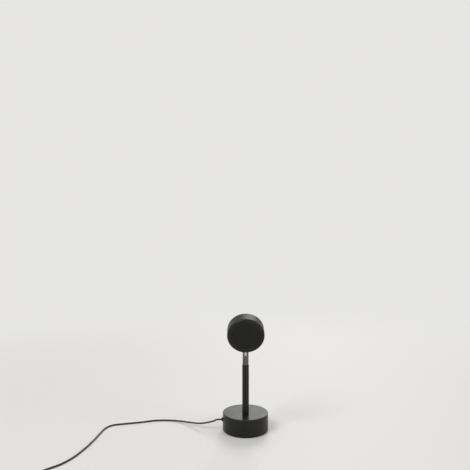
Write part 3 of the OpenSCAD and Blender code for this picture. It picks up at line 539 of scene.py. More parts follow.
def satin_coat(name, colour, roughness, peel=1.0):
    """Powder coat: orange peel under a fine grain, faint clouds in its gloss, a little dust. Where it draws thin
    over an edge it is smoother, every rounded edge gets a painted highlight that makes it paler all along, and the
    edge is rubbed in places."""
    recipe = Recipe(name, Specular_IOR_Level=0.26)
    clouds, grain, skin = recipe.noise(38, 4, 0.6), recipe.noise(4200, 2), recipe.noise(1150, 2.5, 0.55)
    tone = recipe.shaded(clouds, colour, 1, 1.25)
    # Painted highlight: every rounded edge is made paler all along, as if it caught the light; the patched layer
    # after it is real rubbed wear
    tone = recipe.mix(recipe.marked("wear", 0.8), tone, lighter(colour, 5))
    tone = recipe.mix(recipe.worn(), tone, lighter(colour, 8))
    tone = recipe.mix(recipe.dusty(0.07), tone, (0.30, 0.28, 0.25))
    gloss = recipe.total(
        recipe.ramp(skin, *MIDDLE, roughness + 0.05, roughness - 0.05),
        recipe.ramp(clouds, 0.35, 0.7, -0.02, 0.05), recipe.marked("wear", -0.25))
    recipe.bump(skin, 0.045 * MM, peel)
    recipe.bump(grain, 0.008 * MM, 0.5)
    return recipe.painted(tone, gloss)


def turned_metal(name, colour, roughness, way=(0, 0, 1), marks=5200):
    """Plated metal off a lathe: fine rings along one direction, clouded plating and rubbed edges."""
    recipe = Recipe(name, Metallic=1.0)
    clouds, rings = recipe.noise(120, 3), recipe.noise(marks, 3, 0.7, way)
    tone = recipe.mix(recipe.worn(), recipe.shaded(clouds, colour, 0.93, 1.05), lighter(colour, 1.6))
    gloss = recipe.total(
        recipe.ramp(rings, *MIDDLE, roughness - 0.06, roughness + 0.08),
        recipe.ramp(recipe.noise(70, 4), 0.45, 0.75, 0, 0.06))
    recipe.bump(rings, 0.006 * MM, 0.6)
    return recipe.painted(tone, gloss)


def moulded(name, colour, roughness, spark=0.5, scale=3200, shine=0.42):
    """Moulded plastic: an eroded spark grain in the tool, slight flow clouds, polished edges."""
    recipe = Recipe(name, Specular_IOR_Level=shine)
    clouds, grain = recipe.noise(60, 4), recipe.noise(scale, 3, 0.6)
    tone = recipe.mix(recipe.worn(), recipe.shaded(clouds, colour, 1, 1.2), lighter(colour, 1.5))
    tone = recipe.mix(recipe.dusty(0.06), tone, (0.3, 0.29, 0.27))
    gloss = recipe.total(
        recipe.ramp(grain, *MIDDLE, roughness - 0.06, roughness + 0.08), recipe.times(recipe.worn(), -0.12))
    recipe.bump(grain, 0.03 * MM, spark)
    return recipe.painted(tone, gloss)


def soft_vinyl(name, colour):
    """Extruded vinyl: faint lines along its length, slow clouds of gloss, and specks of dust."""
    recipe = Recipe(name, Specular_IOR_Level=0.38)
    lines, slow = recipe.noise(1, 3, 0.6, (26, 18, 1), "UV"), recipe.noise(75, 3)
    specks = recipe.ramp(recipe.noise(1500, 5, 0.75), 0.66, 0.76, 0, 0.25)
    tone = recipe.mix(specks, recipe.shaded(slow, colour, 1, 1.5), (0.16, 0.15, 0.14))
    gloss = recipe.total(recipe.ramp(lines, *MIDDLE, 0.36, 0.5), recipe.ramp(slow, 0.35, 0.7, -0.03, 0.07))
    recipe.bump(lines, 0.01 * MM, 0.4)
    recipe.bump(recipe.noise(4200, 2), 0.006 * MM, 0.3)
    return recipe.painted(tone, gloss)


def soft_rubber(name, colour, scale=2600, depth=0.03 * MM):
    """Matt rubber or foam: small pores and a bloom of lighter patches."""
    recipe = Recipe(name, Specular_IOR_Level=0.3)
    bloom = recipe.noise(130, 5, 0.65)
    recipe.bump(recipe.cells(scale), depth, 0.5)
    tone = recipe.shaded(bloom, colour, 1, 1.8, (0.4, 0.7))
    return recipe.painted(tone, recipe.ramp(bloom, *MIDDLE, 0.72, 0.9))


def rough_iron(name, colour):
    """Cast iron: coarse sand marks with a few pits and a trace of rust."""
    recipe = Recipe(name, Metallic=0.85)
    sand = recipe.noise(700, 6, 0.65)
    rust = recipe.ramp(recipe.noise(60, 6, 0.7), 0.55, 0.72, 0, 0.7)
    tone = recipe.mix(rust, recipe.shaded(sand, colour, 0.7, 1.3), (0.13, 0.05, 0.02))
    recipe.bump(sand, 0.12 * MM, 0.7)
    return recipe.painted(tone, recipe.ramp(sand, *MIDDLE, 0.5, 0.8))


def clear_glass(name):
    """Pressed optical glass: clear, with the faintest waves and a few specks that dull it."""
    recipe = Recipe(name, Transmission_Weight=1.0, IOR=1.5)
    specks = recipe.ramp(recipe.noise(1400, 5, 0.8), 0.70, 0.78)
    tone = recipe.mix(specks, (1.0, 0.985, 0.955), (0.9, 0.87, 0.82))
    recipe.bump(recipe.noise(85, 2), 0.01 * MM, 0.12)
    return recipe.painted(tone, recipe.ramp(specks, 0, 1, 0.0, 0.16))


def sunset_filter(name, colour):
    """Dyed film on glass: golden in the middle, through orange, to a deep red at its edge."""
    recipe = Recipe(name, Transmission_Weight=0.4, IOR=1.45, Roughness=0.12)
    edge = turned("colour_filter", BEAM).outer
    streaks = recipe.times(recipe.noise(240, 4, 0.6), 1.6 * MM)
    reach = recipe.total(recipe.from_axis(BEAM), streaks)
    tone = recipe.mix(recipe.ramp(reach, 0.15 * edge, 0.7 * edge), (1.0, 0.46, 0.04), colour)
    tone = recipe.mix(recipe.ramp(reach, 0.7 * edge, edge), tone, (0.66, 0.06, 0.012))
    recipe.bump(recipe.noise(500, 2), 0.01 * MM, 0.15)
    return recipe.painted(tone)


def bright_reflector(name):
    """Vacuum-metallised plastic: near mirror, with the mould's fine rings round the beam."""
    recipe = Recipe(name, Metallic=1.0)
    rings, clouds = recipe.rings(3800), recipe.ramp(recipe.noise(150, 3), *MIDDLE)
    recipe.bump(rings, 0.004 * MM, 0.5)
    tone = recipe.mix(clouds, (0.80, 0.80, 0.79), (0.88, 0.88, 0.87))
    return recipe.painted(tone, recipe.ramp(rings, *MIDDLE, 0.10, 0.22))


def spun_cover(name, colour, roughness):
    """Satin black disc with the fine rings of its turning, rubbed at the rim."""
    recipe = Recipe(name, Specular_IOR_Level=0.22)
    rings, clouds = recipe.rings(2600), recipe.noise(38, 4, 0.6)
    tone = recipe.mix(recipe.worn(), recipe.shaded(clouds, colour, 1, 1.25), lighter(colour, 7))
    recipe.bump(rings, 0.006 * MM, 0.35)
    recipe.bump(recipe.noise(3200, 2), 0.008 * MM, 0.3)
    return recipe.painted(tone, recipe.ramp(rings, *MIDDLE, roughness - 0.05, roughness + 0.06))


def lit_chip(name):
    """Grains of phosphor in clear resin, ringed by a white dam."""
    recipe = Recipe(name, Roughness=0.35, Specular_IOR_Level=0.6)
    edge = turned("light_chip", BEAM).outer
    grains = recipe.noise(5200, 4, 0.7)
    dam = recipe.ramp(recipe.from_axis(BEAM), 0.80 * edge, 0.83 * edge)
    phosphor = recipe.mix(recipe.ramp(grains, *MIDDLE), (0.90, 0.58, 0.05), (0.98, 0.74, 0.16))
    recipe.bump(grains, 0.02 * MM, 0.4)
    return recipe.painted(recipe.mix(dam, phosphor, (0.8, 0.8, 0.78)))


def circuit_board(name):
    """White solder mask over faint copper tracks."""
    recipe = Recipe(name, Specular_IOR_Level=0.5)
    tracks, clouds = recipe.ramp(recipe.cells(330), 0.10, 0.16), recipe.noise(500, 3)
    recipe.bump(tracks, 0.03 * MM, 0.5)
    tone = recipe.mix(tracks, (0.70, 0.69, 0.64), (0.80, 0.79, 0.76))
    return recipe.painted(tone, recipe.ramp(clouds, *MIDDLE, 0.32, 0.45))


def recipes():
    """What makes the finish of each slot of the record, and what it is told besides the name."""
    look = bpy.context.scene.lamp_finish
    coat, steel, plastic, gloss = tuple(look.coat), tuple(look.steel), tuple(look.plastic), look.coat_gloss
    return {
        "base_shell": (satin_coat, coat, gloss - 0.05),
        "pole": (satin_coat, coat, gloss - 0.04, 0.7),
        "head": (satin_coat, coat, gloss + 0.02),
        "barrel": (satin_coat, coat, gloss, 0.7),
        "bezel": (satin_coat, coat, gloss - 0.06, 0.6),
        "rear_cover": (spun_cover, lighter(coat, 0.8), gloss),
        "base_plate": (satin_coat, (0.03, 0.029, 0.028), 0.55),
        "ballast": (rough_iron, (0.09, 0.085, 0.08)),
        "foot_pad": (soft_rubber, (0.02, 0.019, 0.018), 2200, 0.06 * MM),
        "grommet": (soft_rubber, (0.014, 0.014, 0.014)),
        "gasket": (soft_rubber, (0.018, 0.018, 0.018)),
        "bright_steel": (turned_metal, steel, 0.2, (1, 0.2, 0.2), 3000),
        "tongue_steel": (turned_metal, lighter(steel, 1.25), 0.24, (0.15, 0.15, 1), 4200),
        "neck": (turned_metal, tuple(look.neck), 0.24, (0.02, 0.02, 1), 5200),
        "bush_plastic": (moulded, (0.012, 0.012, 0.0125), 0.36, 0.2, 4200),
        "raw_aluminium": (turned_metal, (0.62, 0.62, 0.63), 0.38, (1, 1, 0.1), 1500),
        "washer_plastic": (moulded, (0.65, 0.63, 0.58), 0.45, 0.2, 2600),
        "light_board": (circuit_board,),
        "light_chip": (lit_chip,),
        "thin_leads": (moulded, (0.40, 0.02, 0.015), 0.42, 0.2, 1500),
        "reflector": (bright_reflector,),
        "colour_filter": (sunset_filter, tuple(look.amber)),
        "lens": (clear_glass,),
        "cord": (soft_vinyl, tuple(look.vinyl)),
        "cord_tie": (moulded, lighter(plastic, 1.2), 0.42, 0.3, 2200),
        "switch_shell": (moulded, plastic, 0.5),
        "module_plastic": (moulded, (0.03, 0.03, 0.035), 0.45, 0.3),
        "button": (moulded, lighter(plastic, 1.6), 0.3, 0.12, 2600, 0.55),
        "plug_grip": (moulded, lighter(plastic, 0.95), 0.44, 0.4, 2600),
        "plug_sleeve": (turned_metal, (0.70, 0.69, 0.67), 0.2, (0.15, 1, 1), 2400),
        "plug_carrier": (moulded, (0.75, 0.75, 0.74), 0.35, 0.15),
        "plug_contacts": (turned_metal, (0.86, 0.62, 0.25), 0.22, (0.1, 1, 1), 2400),
    }


def material(slot):
    """The finish of a slot, made when it is first asked for."""
    name = slot + "_finish"
    make, *told = recipes()[slot]
    return bpy.data.materials.get(name) or make(name, *told)


# ---------------------------------------------------------------- studio

FLOOR_TOP, FLOOR_UNDER = -0.1 * MM, -20 * MM  # heights of the floor's faces
FLOOR_RINGS = (1, 4, 12)  # radii of the floor's disc, in metres
FLOOR_FADE = (0.42, 1.35)  # distances between which the floor turns into the surround, in metres
SENSOR = 36  # width of the camera's sensor, in millimetres
DAYLIGHT = (1, 0.99, 0.97, 1)  # tint of the light from all round
SOFT_LIGHTS = {  # place and width of each, in metres
    "key": ((-1.7, -1.7, 2.5), 1.5),
    "fill": ((2.4, -1.2, 1.5), 1.3),
    "rim": ((0.5, 2.4, 1.8), 1.4),
}


def build_floor(studio):
    """A wide disc whose colour fades into the surround with its distance from the lamp."""
    wide = FLOOR_RINGS[-1]
    top = [(radius, FLOOR_TOP) for radius in (0, *FLOOR_RINGS)]
    floor = lathe("studio_floor", rounded(*top, (wide, FLOOR_UNDER), (0, FLOOR_UNDER)), BASE_AXIS, sides=96)
    recipe = Recipe("studio_floor", Base_Color=(*studio.floor, 1), Roughness=0.6, Specular_IOR_Level=0.25)
    recipe.bump(recipe.noise(700, 4, 0.6), 0.03 * MM, 0.2)
    away = recipe.node("VectorMath", {0: recipe.place["Object"]}, operation="LENGTH").outputs["Value"]
    glow = recipe.node("Emission", {"Color": (*studio.surround, 1)}).outputs["Emission"]
    near = recipe.shader.outputs["BSDF"]
    both = recipe.node("MixShader", {"Fac": recipe.ramp(away, *FLOOR_FADE), 1: near, 2: glow})
    recipe.tree.links.new(both.outputs["Shader"], recipe.out.inputs["Surface"])
    floor.data.materials.append(recipe.painted())


def build_world(studio):
    """Soft light from all round, seen as the pale surround by the camera, by gloss and through glass."""
    world = bpy.context.scene.world or bpy.data.worlds.new("studio")
    bpy.context.scene.world = world
    world.use_nodes = True
    tree = world.node_tree
    tree.nodes.clear()
    seen = wired(tree, "Background", {"Color": (*studio.surround, 1)}).outputs[0]
    light = wired(tree, "Background", {"Color": DAYLIGHT, "Strength": studio.ambient}).outputs[0]
    rays = wired(tree, "LightPath", {}).outputs
    share = rays["Is Camera Ray"]
    for ray in ("Is Glossy Ray", "Is Transmission Ray"):
        share = wired(tree, "Math", {0: share, 1: rays[ray]}, operation="MAXIMUM").outputs["Value"]
    both = wired(tree, "MixShader", {"Fac": share, 1: light, 2: seen})
    wired(tree, "OutputWorld", {"Surface": both.outputs["Shader"]})


def soft_light(name, power, place, size):
    """A square light that faces the middle of the lamp's pole."""
    data = bpy.data.lights.new(name, "AREA")
    data.energy, data.size = power, size
    light = bpy.data.objects.new(name, data)
    light.location = place
    aim = POLE_AXIS.origin + UP * middle("pole_tube")[2] - np.array(place)
    light.rotation_mode = "QUATERNION"
    light.rotation_quaternion = Vector(aim).to_track_quat("-Z", "Y")
    light.visible_camera = False
    bpy.context.scene.collection.objects.link(light)


def build_camera(studio):
    """The photograph's camera: level, and looking along +Y past the lamp."""
    data = bpy.data.cameras.new("camera")
    data.sensor_width = SENSOR
    data.lens = studio.lens / MM
    camera = bpy.data.objects.new("camera", data)
    camera.location = studio.place
    camera.rotation_euler = (math.pi / 2, 0, 0)
    bpy.context.scene.collection.objects.link(camera)
    bpy.context.scene.camera = camera


# ---------------------------------------------------------------- lead

# The lead's route on the table: x, y and the height of its underside, in millimetres
TABLE_ROUTE = [
    (-56, -2.5, 12.4), (-74, 4, 7), (-92, 17, 3.4), (-110, 29.5, 1), (-132.5, 36, 0),
    (-155.5, 35, 0), (-178, 27.5, 0), (-200.5, 21.5, 0), (-223, 14.5, 0), (-232, 2, 0),
    (-235.5, -18, 0), (-237.5, -40.5, 0), (-240.5, -63, 0), (-245, -85.5, 0),
    (-251, -107, 0), (-261, -127, 0), (-276, -143.5, 0), (-289, -161, 0), (-294.5, -183, 0.3),
]
TAIL_ROUTE = [(-263, -215, 8.4), (-254, -211.5, 6), (-246, -208.5, 4.4)]
COIL_CENTRE = np.array([-275, -197, 0]) * MM
COIL_LIFT = 2 * MM  # height of the lowest layer's middle, with room for the tie under it
TURN_POINTS = 60  # points in each turn of the coil
OUTLET_RUN = 6 * MM  # how far the lead leaves the base level
PLUG_GRASP = 3 * MM  # how far it runs into the plug


def smooth(points, steps):
    """A Catmull-Rom curve through points, straight in its first and last step."""
    p = np.array(points)
    a, b, c, d = p[:-3, None], p[1:-2, None], p[2:-1, None], p[3:, None]
    t = np.linspace(0, 1, steps, endpoint=False)[None, :, None]
    line = 0.5 * (2 * b + (c - a) * t + (2 * a - 5 * b + 4 * c - d) * t**2 + (3 * b - a - 3 * c + d) * t**3)
    return np.concatenate([p[:1], line.reshape(-1, 3), p[-2:]])


def eased(line, passes=30, forth=0.5, back=-0.52):
    """Takes the knees out of a line and leaves its wide bends: every pass moves each point half way to the
    mean of its neighbours, and then a little further back."""
    line = line.copy()
    for share in (forth, back) * passes:
        line[1:-1] += share * ((line[:-2] + line[2:]) / 2 - line[1:-1])
    return line


def coil_points(lead, a):
    """Places on the coil after a turns: its radius runs in and out once a layer, and a smooth step climbs
    a layer in the half turn where it reverses."""
    pitch = lead.diameter + lead.turn_gap
    layer_turns = lead.turns / lead.layers
    layer = np.minimum(np.floor(a / layer_turns), lead.layers - 1)
    share = a / layer_turns - layer
    inward = np.where(layer % 2 == 0, share, 1 - share)
    radius = lead.coil_middle / 2 + (0.5 - inward) * layer_turns * pitch
    step = np.clip(2 * (a[:, None] - layer_turns * np.arange(1, lead.layers)) + 0.5, 0, 1)
    rise = (step * step * (3 - 2 * step)).sum(axis=1)
    turn = 2 * math.pi * a
    ring = np.stack([-radius * np.cos(turn), -radius * np.sin(turn), pitch * rise], -1)
    return COIL_CENTRE + UP * COIL_LIFT + ring


def lead_line(lead):
    """The whole lead: out of the base, over the table, round the coil, through the switch to the plug."""
    ahead, beside = ACROSS * lead.diameter, ALONG * lead.diameter
    table, tail = (list(np.array(route) * MM + UP * lead_radius()) for route in (TABLE_ROUTE, TAIL_ROUTE))
    start = OUTLET_AXIS.origin + OUTLET_AXIS.way * turned("cord_grommet", OUTLET_AXIS).high
    level = start + OUTLET_AXIS.way * OUTLET_RUN
    coil = coil_points(lead, np.linspace(0, lead.turns, int(lead.turns * TURN_POINTS) + 1))
    low, high = corners("switch_lower")
    enter = np.array([low[0], middle("switch_lower")[1], high[2]])
    leave = enter * [0, 1, 1] + ACROSS * high[0]
    grip = middle("plug_grip") * [0, 1, 1] + ACROSS * corners("plug_grip")[0][0]
    line = eased(np.concatenate([
        smooth([start, level, *table, coil[0] + 2 * beside, coil[0] + beside], steps=10),
        coil,
        smooth([coil[-1] + ahead, coil[-1] + 2 * ahead, *tail, enter - ahead, enter], steps=10),
        np.linspace(enter, leave, 30)[1:-1],
        smooth([leave, leave + ahead, (leave + grip) / 2, grip - ahead, grip], steps=8),
        (grip + ACROSS * PLUG_GRASP)[None],
    ]))
    line[:, 2] = np.maximum(line[:, 2], lead_radius())
    return line


def build_lead(lead):
    """One round tube from the outlet to the plug, and the points that it follows."""
    line = lead_line(lead)
    piece = tube("lead", line, lead_radius(), sides=20)
    return dress(piece, "cord_run", "cord_coil", "cord_tail", "cord_link"), line


def ribbon(name, line, flat_way, wide_way, thick, wide, ring=False):
    """Carries a flat strip with round edges along a line: line + thickness*flat_way + width*wide_way."""
    edge = box_outline(thick / 2, wide / 2, thick / 2 - SLIVER, inset=0, steps=4)[0]
    across, along = edge[None, :, :1] * flat_way[:, None], edge[None, :, 1:] * wide_way
    return dress(surface(name, line[:, None] + across + along, ring), "cord_tie")


def build_tie(lead):
    """A flat strip pulled round the coil, and its two ends twisted about each other. The loop is where a
    straight edge turned all round the bundle would touch it: for every direction, the turn that reaches
    furthest that way, and the lead's radius and half the strip beyond its middle. Each end is a ribbon
    along a screw line that opens at its tip."""
    thick, wide, clear = 0.45 * MM, 3.4 * MM, 0.1 * MM
    end_thick, end_wide, end_reach = 0.4 * MM, 1.6 * MM, 6.8 * MM
    twisted, twist_turns, tip_turn = 0.66, 1.4, 0.06  # twisted share of an end, its turns, and the tip's
    apart, parted = 0.26 * MM, 0.8 * MM  # from the twist's middle to an end, and on to its tip
    post = points_of("cord_tie") - COIL_CENTRE
    reach = np.linalg.norm(post[:, :2], axis=1)
    tip = post[reach > reach.max() - 0.1 * MM].mean(axis=0)
    bearing = math.atan2(tip[1], tip[0])
    outward = np.array([math.cos(bearing), math.sin(bearing), 0])
    along = np.cross(UP, outward)
    first = (bearing / (2 * math.pi) + 0.5) % 1
    turns = coil_points(lead, np.arange(first, lead.turns, 1)) - COIL_CENTRE
    turns = np.stack([turns @ outward, turns[:, 2]], -1)
    angle = np.linspace(0, 2 * math.pi, 96, endpoint=False)
    facing = np.stack([np.cos(angle), np.sin(angle)], -1)
    touch = turns[np.argmax(facing @ turns.T, axis=1)] + facing * (lead.diameter / 2 + clear + thick / 2)
    touch[:, 1] = np.maximum(touch[:, 1], thick / 2)
    flat_way = facing[:, :1] * outward + facing[:, 1:] * UP
    loop = COIL_CENTRE + touch[:, :1] * outward + touch[:, 1:] * UP
    pieces = [ribbon("lead_tie", loop, flat_way, along, thick, wide, ring=True)]
    s = np.linspace(0, 1, 64)[:, None]
    root = COIL_CENTRE + outward * (touch[:, 0].max() + thick / 2) + UP * tip[2]
    opening = np.clip((s - twisted) / (1 - twisted), 0, 1)
    for k in range(2):
        spin = 2 * math.pi * (twist_turns * np.minimum(s / twisted, 1) + tip_turn * opening) + math.pi * k
        round_it = np.cos(spin) * UP + np.sin(spin) * along
        square_to = np.cos(spin) * along - np.sin(spin) * UP
        line = root + outward * (s * end_reach) + (apart + parted * opening**2) * round_it
        name = f"lead_tie_end_{k + 1}"
        pieces.append(ribbon(name, line, round_it, square_to[:, None], end_thick, end_wide))
    return pieces


# ---------------------------------------------------------------- switch

SEAM = 0.25 * MM  # depth and half height of the groove between the shells
NOZZLE = 3 * MM  # how far each nozzle stands out of the block
# A nozzle's ribs, from the block outwards: millimetres in from its radius, fifths of its length before its
# end, and fillet in millimetres
RIBS = (
    (0, 4, 0.1), (0.35, 4, 0), (0.35, 3, 0), (0.1, 3, 0.1), (0.15, 2, 0.1), (0.5, 2, 0),
    (0.5, 1, 0), (0.25, 1, 0.1), (0.35, 0, 0.25),
)


def switch_block():
    """Half length and half width of the switch between its nozzles, and the heights of its seam and top."""
    low, high = corners("switch_lower")
    return (high[0] - low[0]) / 2 - NOZZLE, (high[1] - low[1]) / 2, high[2], corners("switch_upper")[1][2]


def block_rings(profile, half_length, half_width):
    """Rings of the switch's round-ended block: one outline for each (inset, height) of a profile."""
    rings = box_outline(half_length, half_width, half_width - SLIVER, profile[:, 0], steps=14, between=15)
    height = np.broadcast_to(profile[:, 1, None, None], (*rings.shape[:2], 1))
    return np.concatenate([rings, height], -1) + SWITCH_AXIS.origin


def build_shells():
    """Two shells with a seam between them. The top shell's last outline is drawn in to the button's well,
    which has a point in the direction of each point of that outline."""
    half_length, half_width, split, top = switch_block()
    hole, edge, flat, core = turned("switch_upper", SWITCH_AXIS).inner, sizes().switch_edge, 3.4 * MM, 2 * MM
    outer = rounded((SEAM, split), (0, split + SEAM), (0, top, edge), (flat, top), steps=10)
    rings = block_rings(outer, half_length, half_width)
    towards = rings[-1] - SWITCH_AXIS.origin
    turn = np.arctan2(towards[:, 1], towards[:, 0])
    circle = np.stack([np.cos(turn), np.sin(turn), 0 * turn], -1)
    bore = rounded((hole + 0.6 * MM, top), (hole, top, EDGE), (hole, split), steps=4)
    well = SWITCH_AXIS.origin + bore[:, :1, None] * circle + bore[:, 1:, None] * UP
    dress(surface("switch_top_shell", np.concatenate([rings, well]), ring=True), "switch_upper")
    under = rounded((core, 0), (0, 0, 0.7 * MM), (0, split - SEAM), (SEAM, split), (core, split))
    dress(surface("switch_under_shell", block_rings(under, half_length, half_width)), "switch_lower")


def build_nozzles():
    """A ribbed sleeve round the lead at each end of the switch."""
    half_length, _, split, _ = switch_block()
    radius, start, end = lead_radius() + 1.3 * MM, half_length - 1.5 * MM, half_length + NOZZLE
    ribs = [(radius - inward * MM, end - fifths * NOZZLE / 5, fillet * MM) for inward, fifths, fillet in RIBS]
    for k, way in enumerate((-ACROSS, ACROSS)):
        spun(f"switch_nozzle_{k + 1}", "switch_lower", Axis(SWITCH_AXIS.origin + UP * split, way),
             (0, start), (radius, start), *ribs, (0, end), steps=3, sides=48)


def build_button():
    """The push button: its top is a parabola turned round, a shallow dish, and a collar keeps it in the
    shell."""
    top, cap = switch_block()[3], turned("switch_button", SWITCH_AXIS)
    radius = turned("switch_upper", SWITCH_AXIS).inner - 0.2 * MM
    depth, dished, round_edge = 0.3 * MM, 0.72, 0.4 * MM
    collar, foot = top - 1.8 * MM, top - 2.8 * MM
    reach = np.linspace(0, dished, 8)[:, None] * radius
    dish = np.concatenate([reach, cap.high - depth * (1 - (reach / (dished * radius)) ** 2)], -1)
    edge = rounded(
        (0.86 * radius, cap.high, round_edge), (radius, cap.high - depth, round_edge), (radius, collar),
        (cap.outer, collar), (cap.outer, foot), (0, foot))
    dress(lathe("push_button", np.concatenate([dish, edge]), SWITCH_AXIS, sides=64), "switch_button")


# ---------------------------------------------------------------- plug

RELIEF = 9 * MM  # length of the strain relief behind the grip


def build_grip():
    """A moulded grip: a rectangle with round corners, carried along the plug. Both ends draw in by a quarter
    of a circle, and the sides by a row of grooves, each cut by a circle beside it."""
    low, high = corners("plug_grip")
    back, front, nose, brow = low[0] + RELIEF, high[0], 2.5 * MM, 0.8 * MM
    groove_pitch, groove, beside = 2.4 * MM, 0.6 * MM, 0.2 * MM
    bend = nose * (1 - np.cos(np.linspace(0, math.pi / 2, 12)))
    straight = np.arange(back + nose, front - nose, 0.12 * MM)
    x = np.unique(np.concatenate([back + bend, front - bend, straight]))
    from_end = np.minimum(x - back, front - x)

    def drawn_in(radius):
        left = np.clip(radius - from_end, 0, radius)
        return radius - np.sqrt(radius**2 - left**2)

    apart = np.abs(x[:, None] - (back + 6 * MM + groove_pitch * np.arange(5))).min(axis=1)
    cut = np.maximum(np.sqrt(np.maximum(groove**2 - apart**2, 0)) - beside, 0)
    half_wide, half_high = (high[1] - low[1]) / 2, (high[2] - low[2]) / 2
    section = box_outline(half_wide, half_high, 1.2 * MM, inset=0, steps=7)[0]
    wide = (half_wide - drawn_in(nose) - cut) / half_wide
    tall = (half_high - drawn_in(brow)) / half_high
    grid = np.stack([np.broadcast_to(x[:, None], (len(x), len(section))),
                     section[:, 0] * wide[:, None], section[:, 1] * tall[:, None]], -1)
    dress(surface("plug_body", grid + middle("plug_grip") * [0, 1, 1], sharp=50), "plug_grip")


def build_relief():
    """The strain relief: a cone behind the grip with three slots, whose floors rise towards the grip."""
    low, high = corners("plug_grip")
    thin, thick = lead_radius() + 0.6 * MM, (high[2] - low[2]) / 2 - 0.8 * MM
    joined, round_edge = RELIEF + 1 * MM, 0.12 * MM
    taper = [(0, 0), (thin, 0, 0.2 * MM)]
    for i in range(3):
        start = (1.5 + 2.4 * i) * MM
        end = start + 1 * MM
        outer = thin + (thick - thin) * start / RELIEF
        inner = lead_radius() + (0.4 + 0.5 * i) * MM
        taper += [(outer, start, round_edge), (inner, start), (inner, end),
                  (outer + 0.12 * MM, end, round_edge)]
    axis = Axis(middle("plug_grip") * [0, 1, 1] + ACROSS * low[0], ACROSS)
    spun("plug_relief", "plug_grip", axis, *taper, (thick, joined), (0, joined), steps=3, sides=64)


# ---------------------------------------------------------------- base and pole


def build_base():
    """The weighted base's shell, its foam foot and the outlet bush."""
    s = sizes()
    shell, pad = turned("base_shell", BASE_AXIS), turned("foot_pad", BASE_AXIS)
    inner, roof = turned("base_plate", BASE_AXIS).outer + 0.2 * MM, turned("nipple_washer", POLE_AXIS).high
    flat = shell.outer - 6 * MM
    spun("base_drum", "base_shell", BASE_AXIS,
         (0, roof), (inner, roof), (inner, shell.low, s.fine_edge), (shell.outer, shell.low, EDGE),
         (shell.outer, shell.high, s.base_edge), (flat, shell.high), (0, shell.high), steps=10)
    spun("base_foot", "foot_pad", BASE_AXIS,
         (0, pad.low), (pad.outer, pad.low, 0.5 * MM), (pad.outer, pad.high, EDGE), (0, pad.high))
    bush, side, bore = turned("cord_grommet", OUTLET_AXIS), shell.outer, lead_radius()
    barrel, shoulder = bush.outer - 1 * MM, side - 0.3 * MM
    spun("outlet_bush", "cord_grommet", OUTLET_AXIS,
         (bore, inner), (barrel, inner), (barrel, shoulder), (bush.outer, shoulder),
         (bush.outer, side + 0.5 * MM, EDGE), (bush.outer - 0.75 * MM, bush.high, 0.5 * MM),
         (bore + 0.35 * MM, bush.high, 0.2 * MM), (bore, bush.high - 0.6 * MM, 0.2 * MM),
         steps=5, ring=True, sides=72)


def build_pole():
    """The pole's tube and the bush that shows between the pole and the neck."""
    s = sizes()
    pole, bush = turned("pole_tube", POLE_AXIS), turned("swivel_bush", POLE_AXIS)
    spun("pole_skin", "pole_tube", POLE_AXIS,
         (pole.inner, pole.low), (pole.outer, pole.low, s.fine_edge), (pole.outer, pole.high, s.pole_edge),
         (pole.inner, pole.high, s.fine_edge), steps=5, ring=True, sides=96)
    spun("bush_ring", "swivel_bush", POLE_AXIS,
         (bush.inner, bush.low), (pole.inner, bush.low), (pole.inner, pole.high),
         (bush.outer, pole.high, s.fine_edge), (bush.outer, bush.high, s.fine_edge),
         (bush.inner, bush.high), steps=4, ring=True, sides=96)


# ---------------------------------------------------------------- head and optics


def build_head():
    """The head's housing, with its rounded rear edge, and the rear cover in its groove."""
    s = sizes()
    body, cover = turned("head_housing", BEAM), turned("rear_cover", BEAM)
    inner, ledge, rim = turned("heat_spreader", BEAM).outer, 3 * MM, cover.outer - FIT
    floor, corner = body.low + s.groove, 0.05 * MM
    spun("head_drum", "head_housing", BEAM,
         (inner, ledge), (inner, body.high), (body.outer, body.high, s.lip_edge),
         (body.outer, body.low, s.head_edge), (cover.outer + s.groove, body.low, s.fine_edge),
         (cover.outer, floor, corner), (cover.outer, cover.high), (body.inner, cover.high),
         (body.inner, ledge), steps=12, ring=True)
    spun("head_cover", "rear_cover", BEAM,
         (0, cover.low), (cover.outer - s.groove, cover.low, s.fine_edge),
         (rim, cover.low + s.groove, corner), (rim, cover.high), (0, cover.high))


def build_barrel():
    """The front barrel, with a thin groove round it and a ledge for the lens, and the ring over the lens."""
    s = sizes()
    barrel, bezel, gasket = (turned(node, BEAM) for node in ("front_barrel", "lens_bezel", "lens_gasket"))
    front, well, seat = bezel.outer, gasket.outer + 0.2 * MM, turned("lens", BEAM).low
    bore, ledge = turned("colour_filter", BEAM).outer + 0.1 * MM, seat - 1 * MM
    spigot, shoulder = barrel.outer - 0.03 * MM, turned("head_housing", BEAM).high - 0.05 * MM
    groove, half, depth, corner = barrel.high - 2 * MM, 0.2 * MM, 0.25 * MM, 0.08 * MM
    spun("lens_barrel", "front_barrel", BEAM,
         (bore, barrel.low), (spigot, barrel.low), (spigot, shoulder), (front, shoulder),
         (front, groove - half, corner), (front - depth, groove, corner), (front, groove + half, corner),
         (front, barrel.high, EDGE), (well, barrel.high), (well, seat), (barrel.inner, seat, s.fine_edge),
         (barrel.inner, ledge), (bore, ledge), steps=4, ring=True)
    bevel, rim = s.bezel_bevel, well - FIT
    spun("lens_ring", "lens_bezel", BEAM,
         (bezel.inner, gasket.high), (rim, gasket.high), (rim, barrel.high),
         (front, barrel.high + FIT, EDGE), (front, bezel.high - bevel, 0.35 * MM),
         (front - bevel, bezel.high, 0.35 * MM), (bezel.inner + bevel, bezel.high, EDGE),
         (bezel.inner, bezel.high - bevel, EDGE), ring=True)


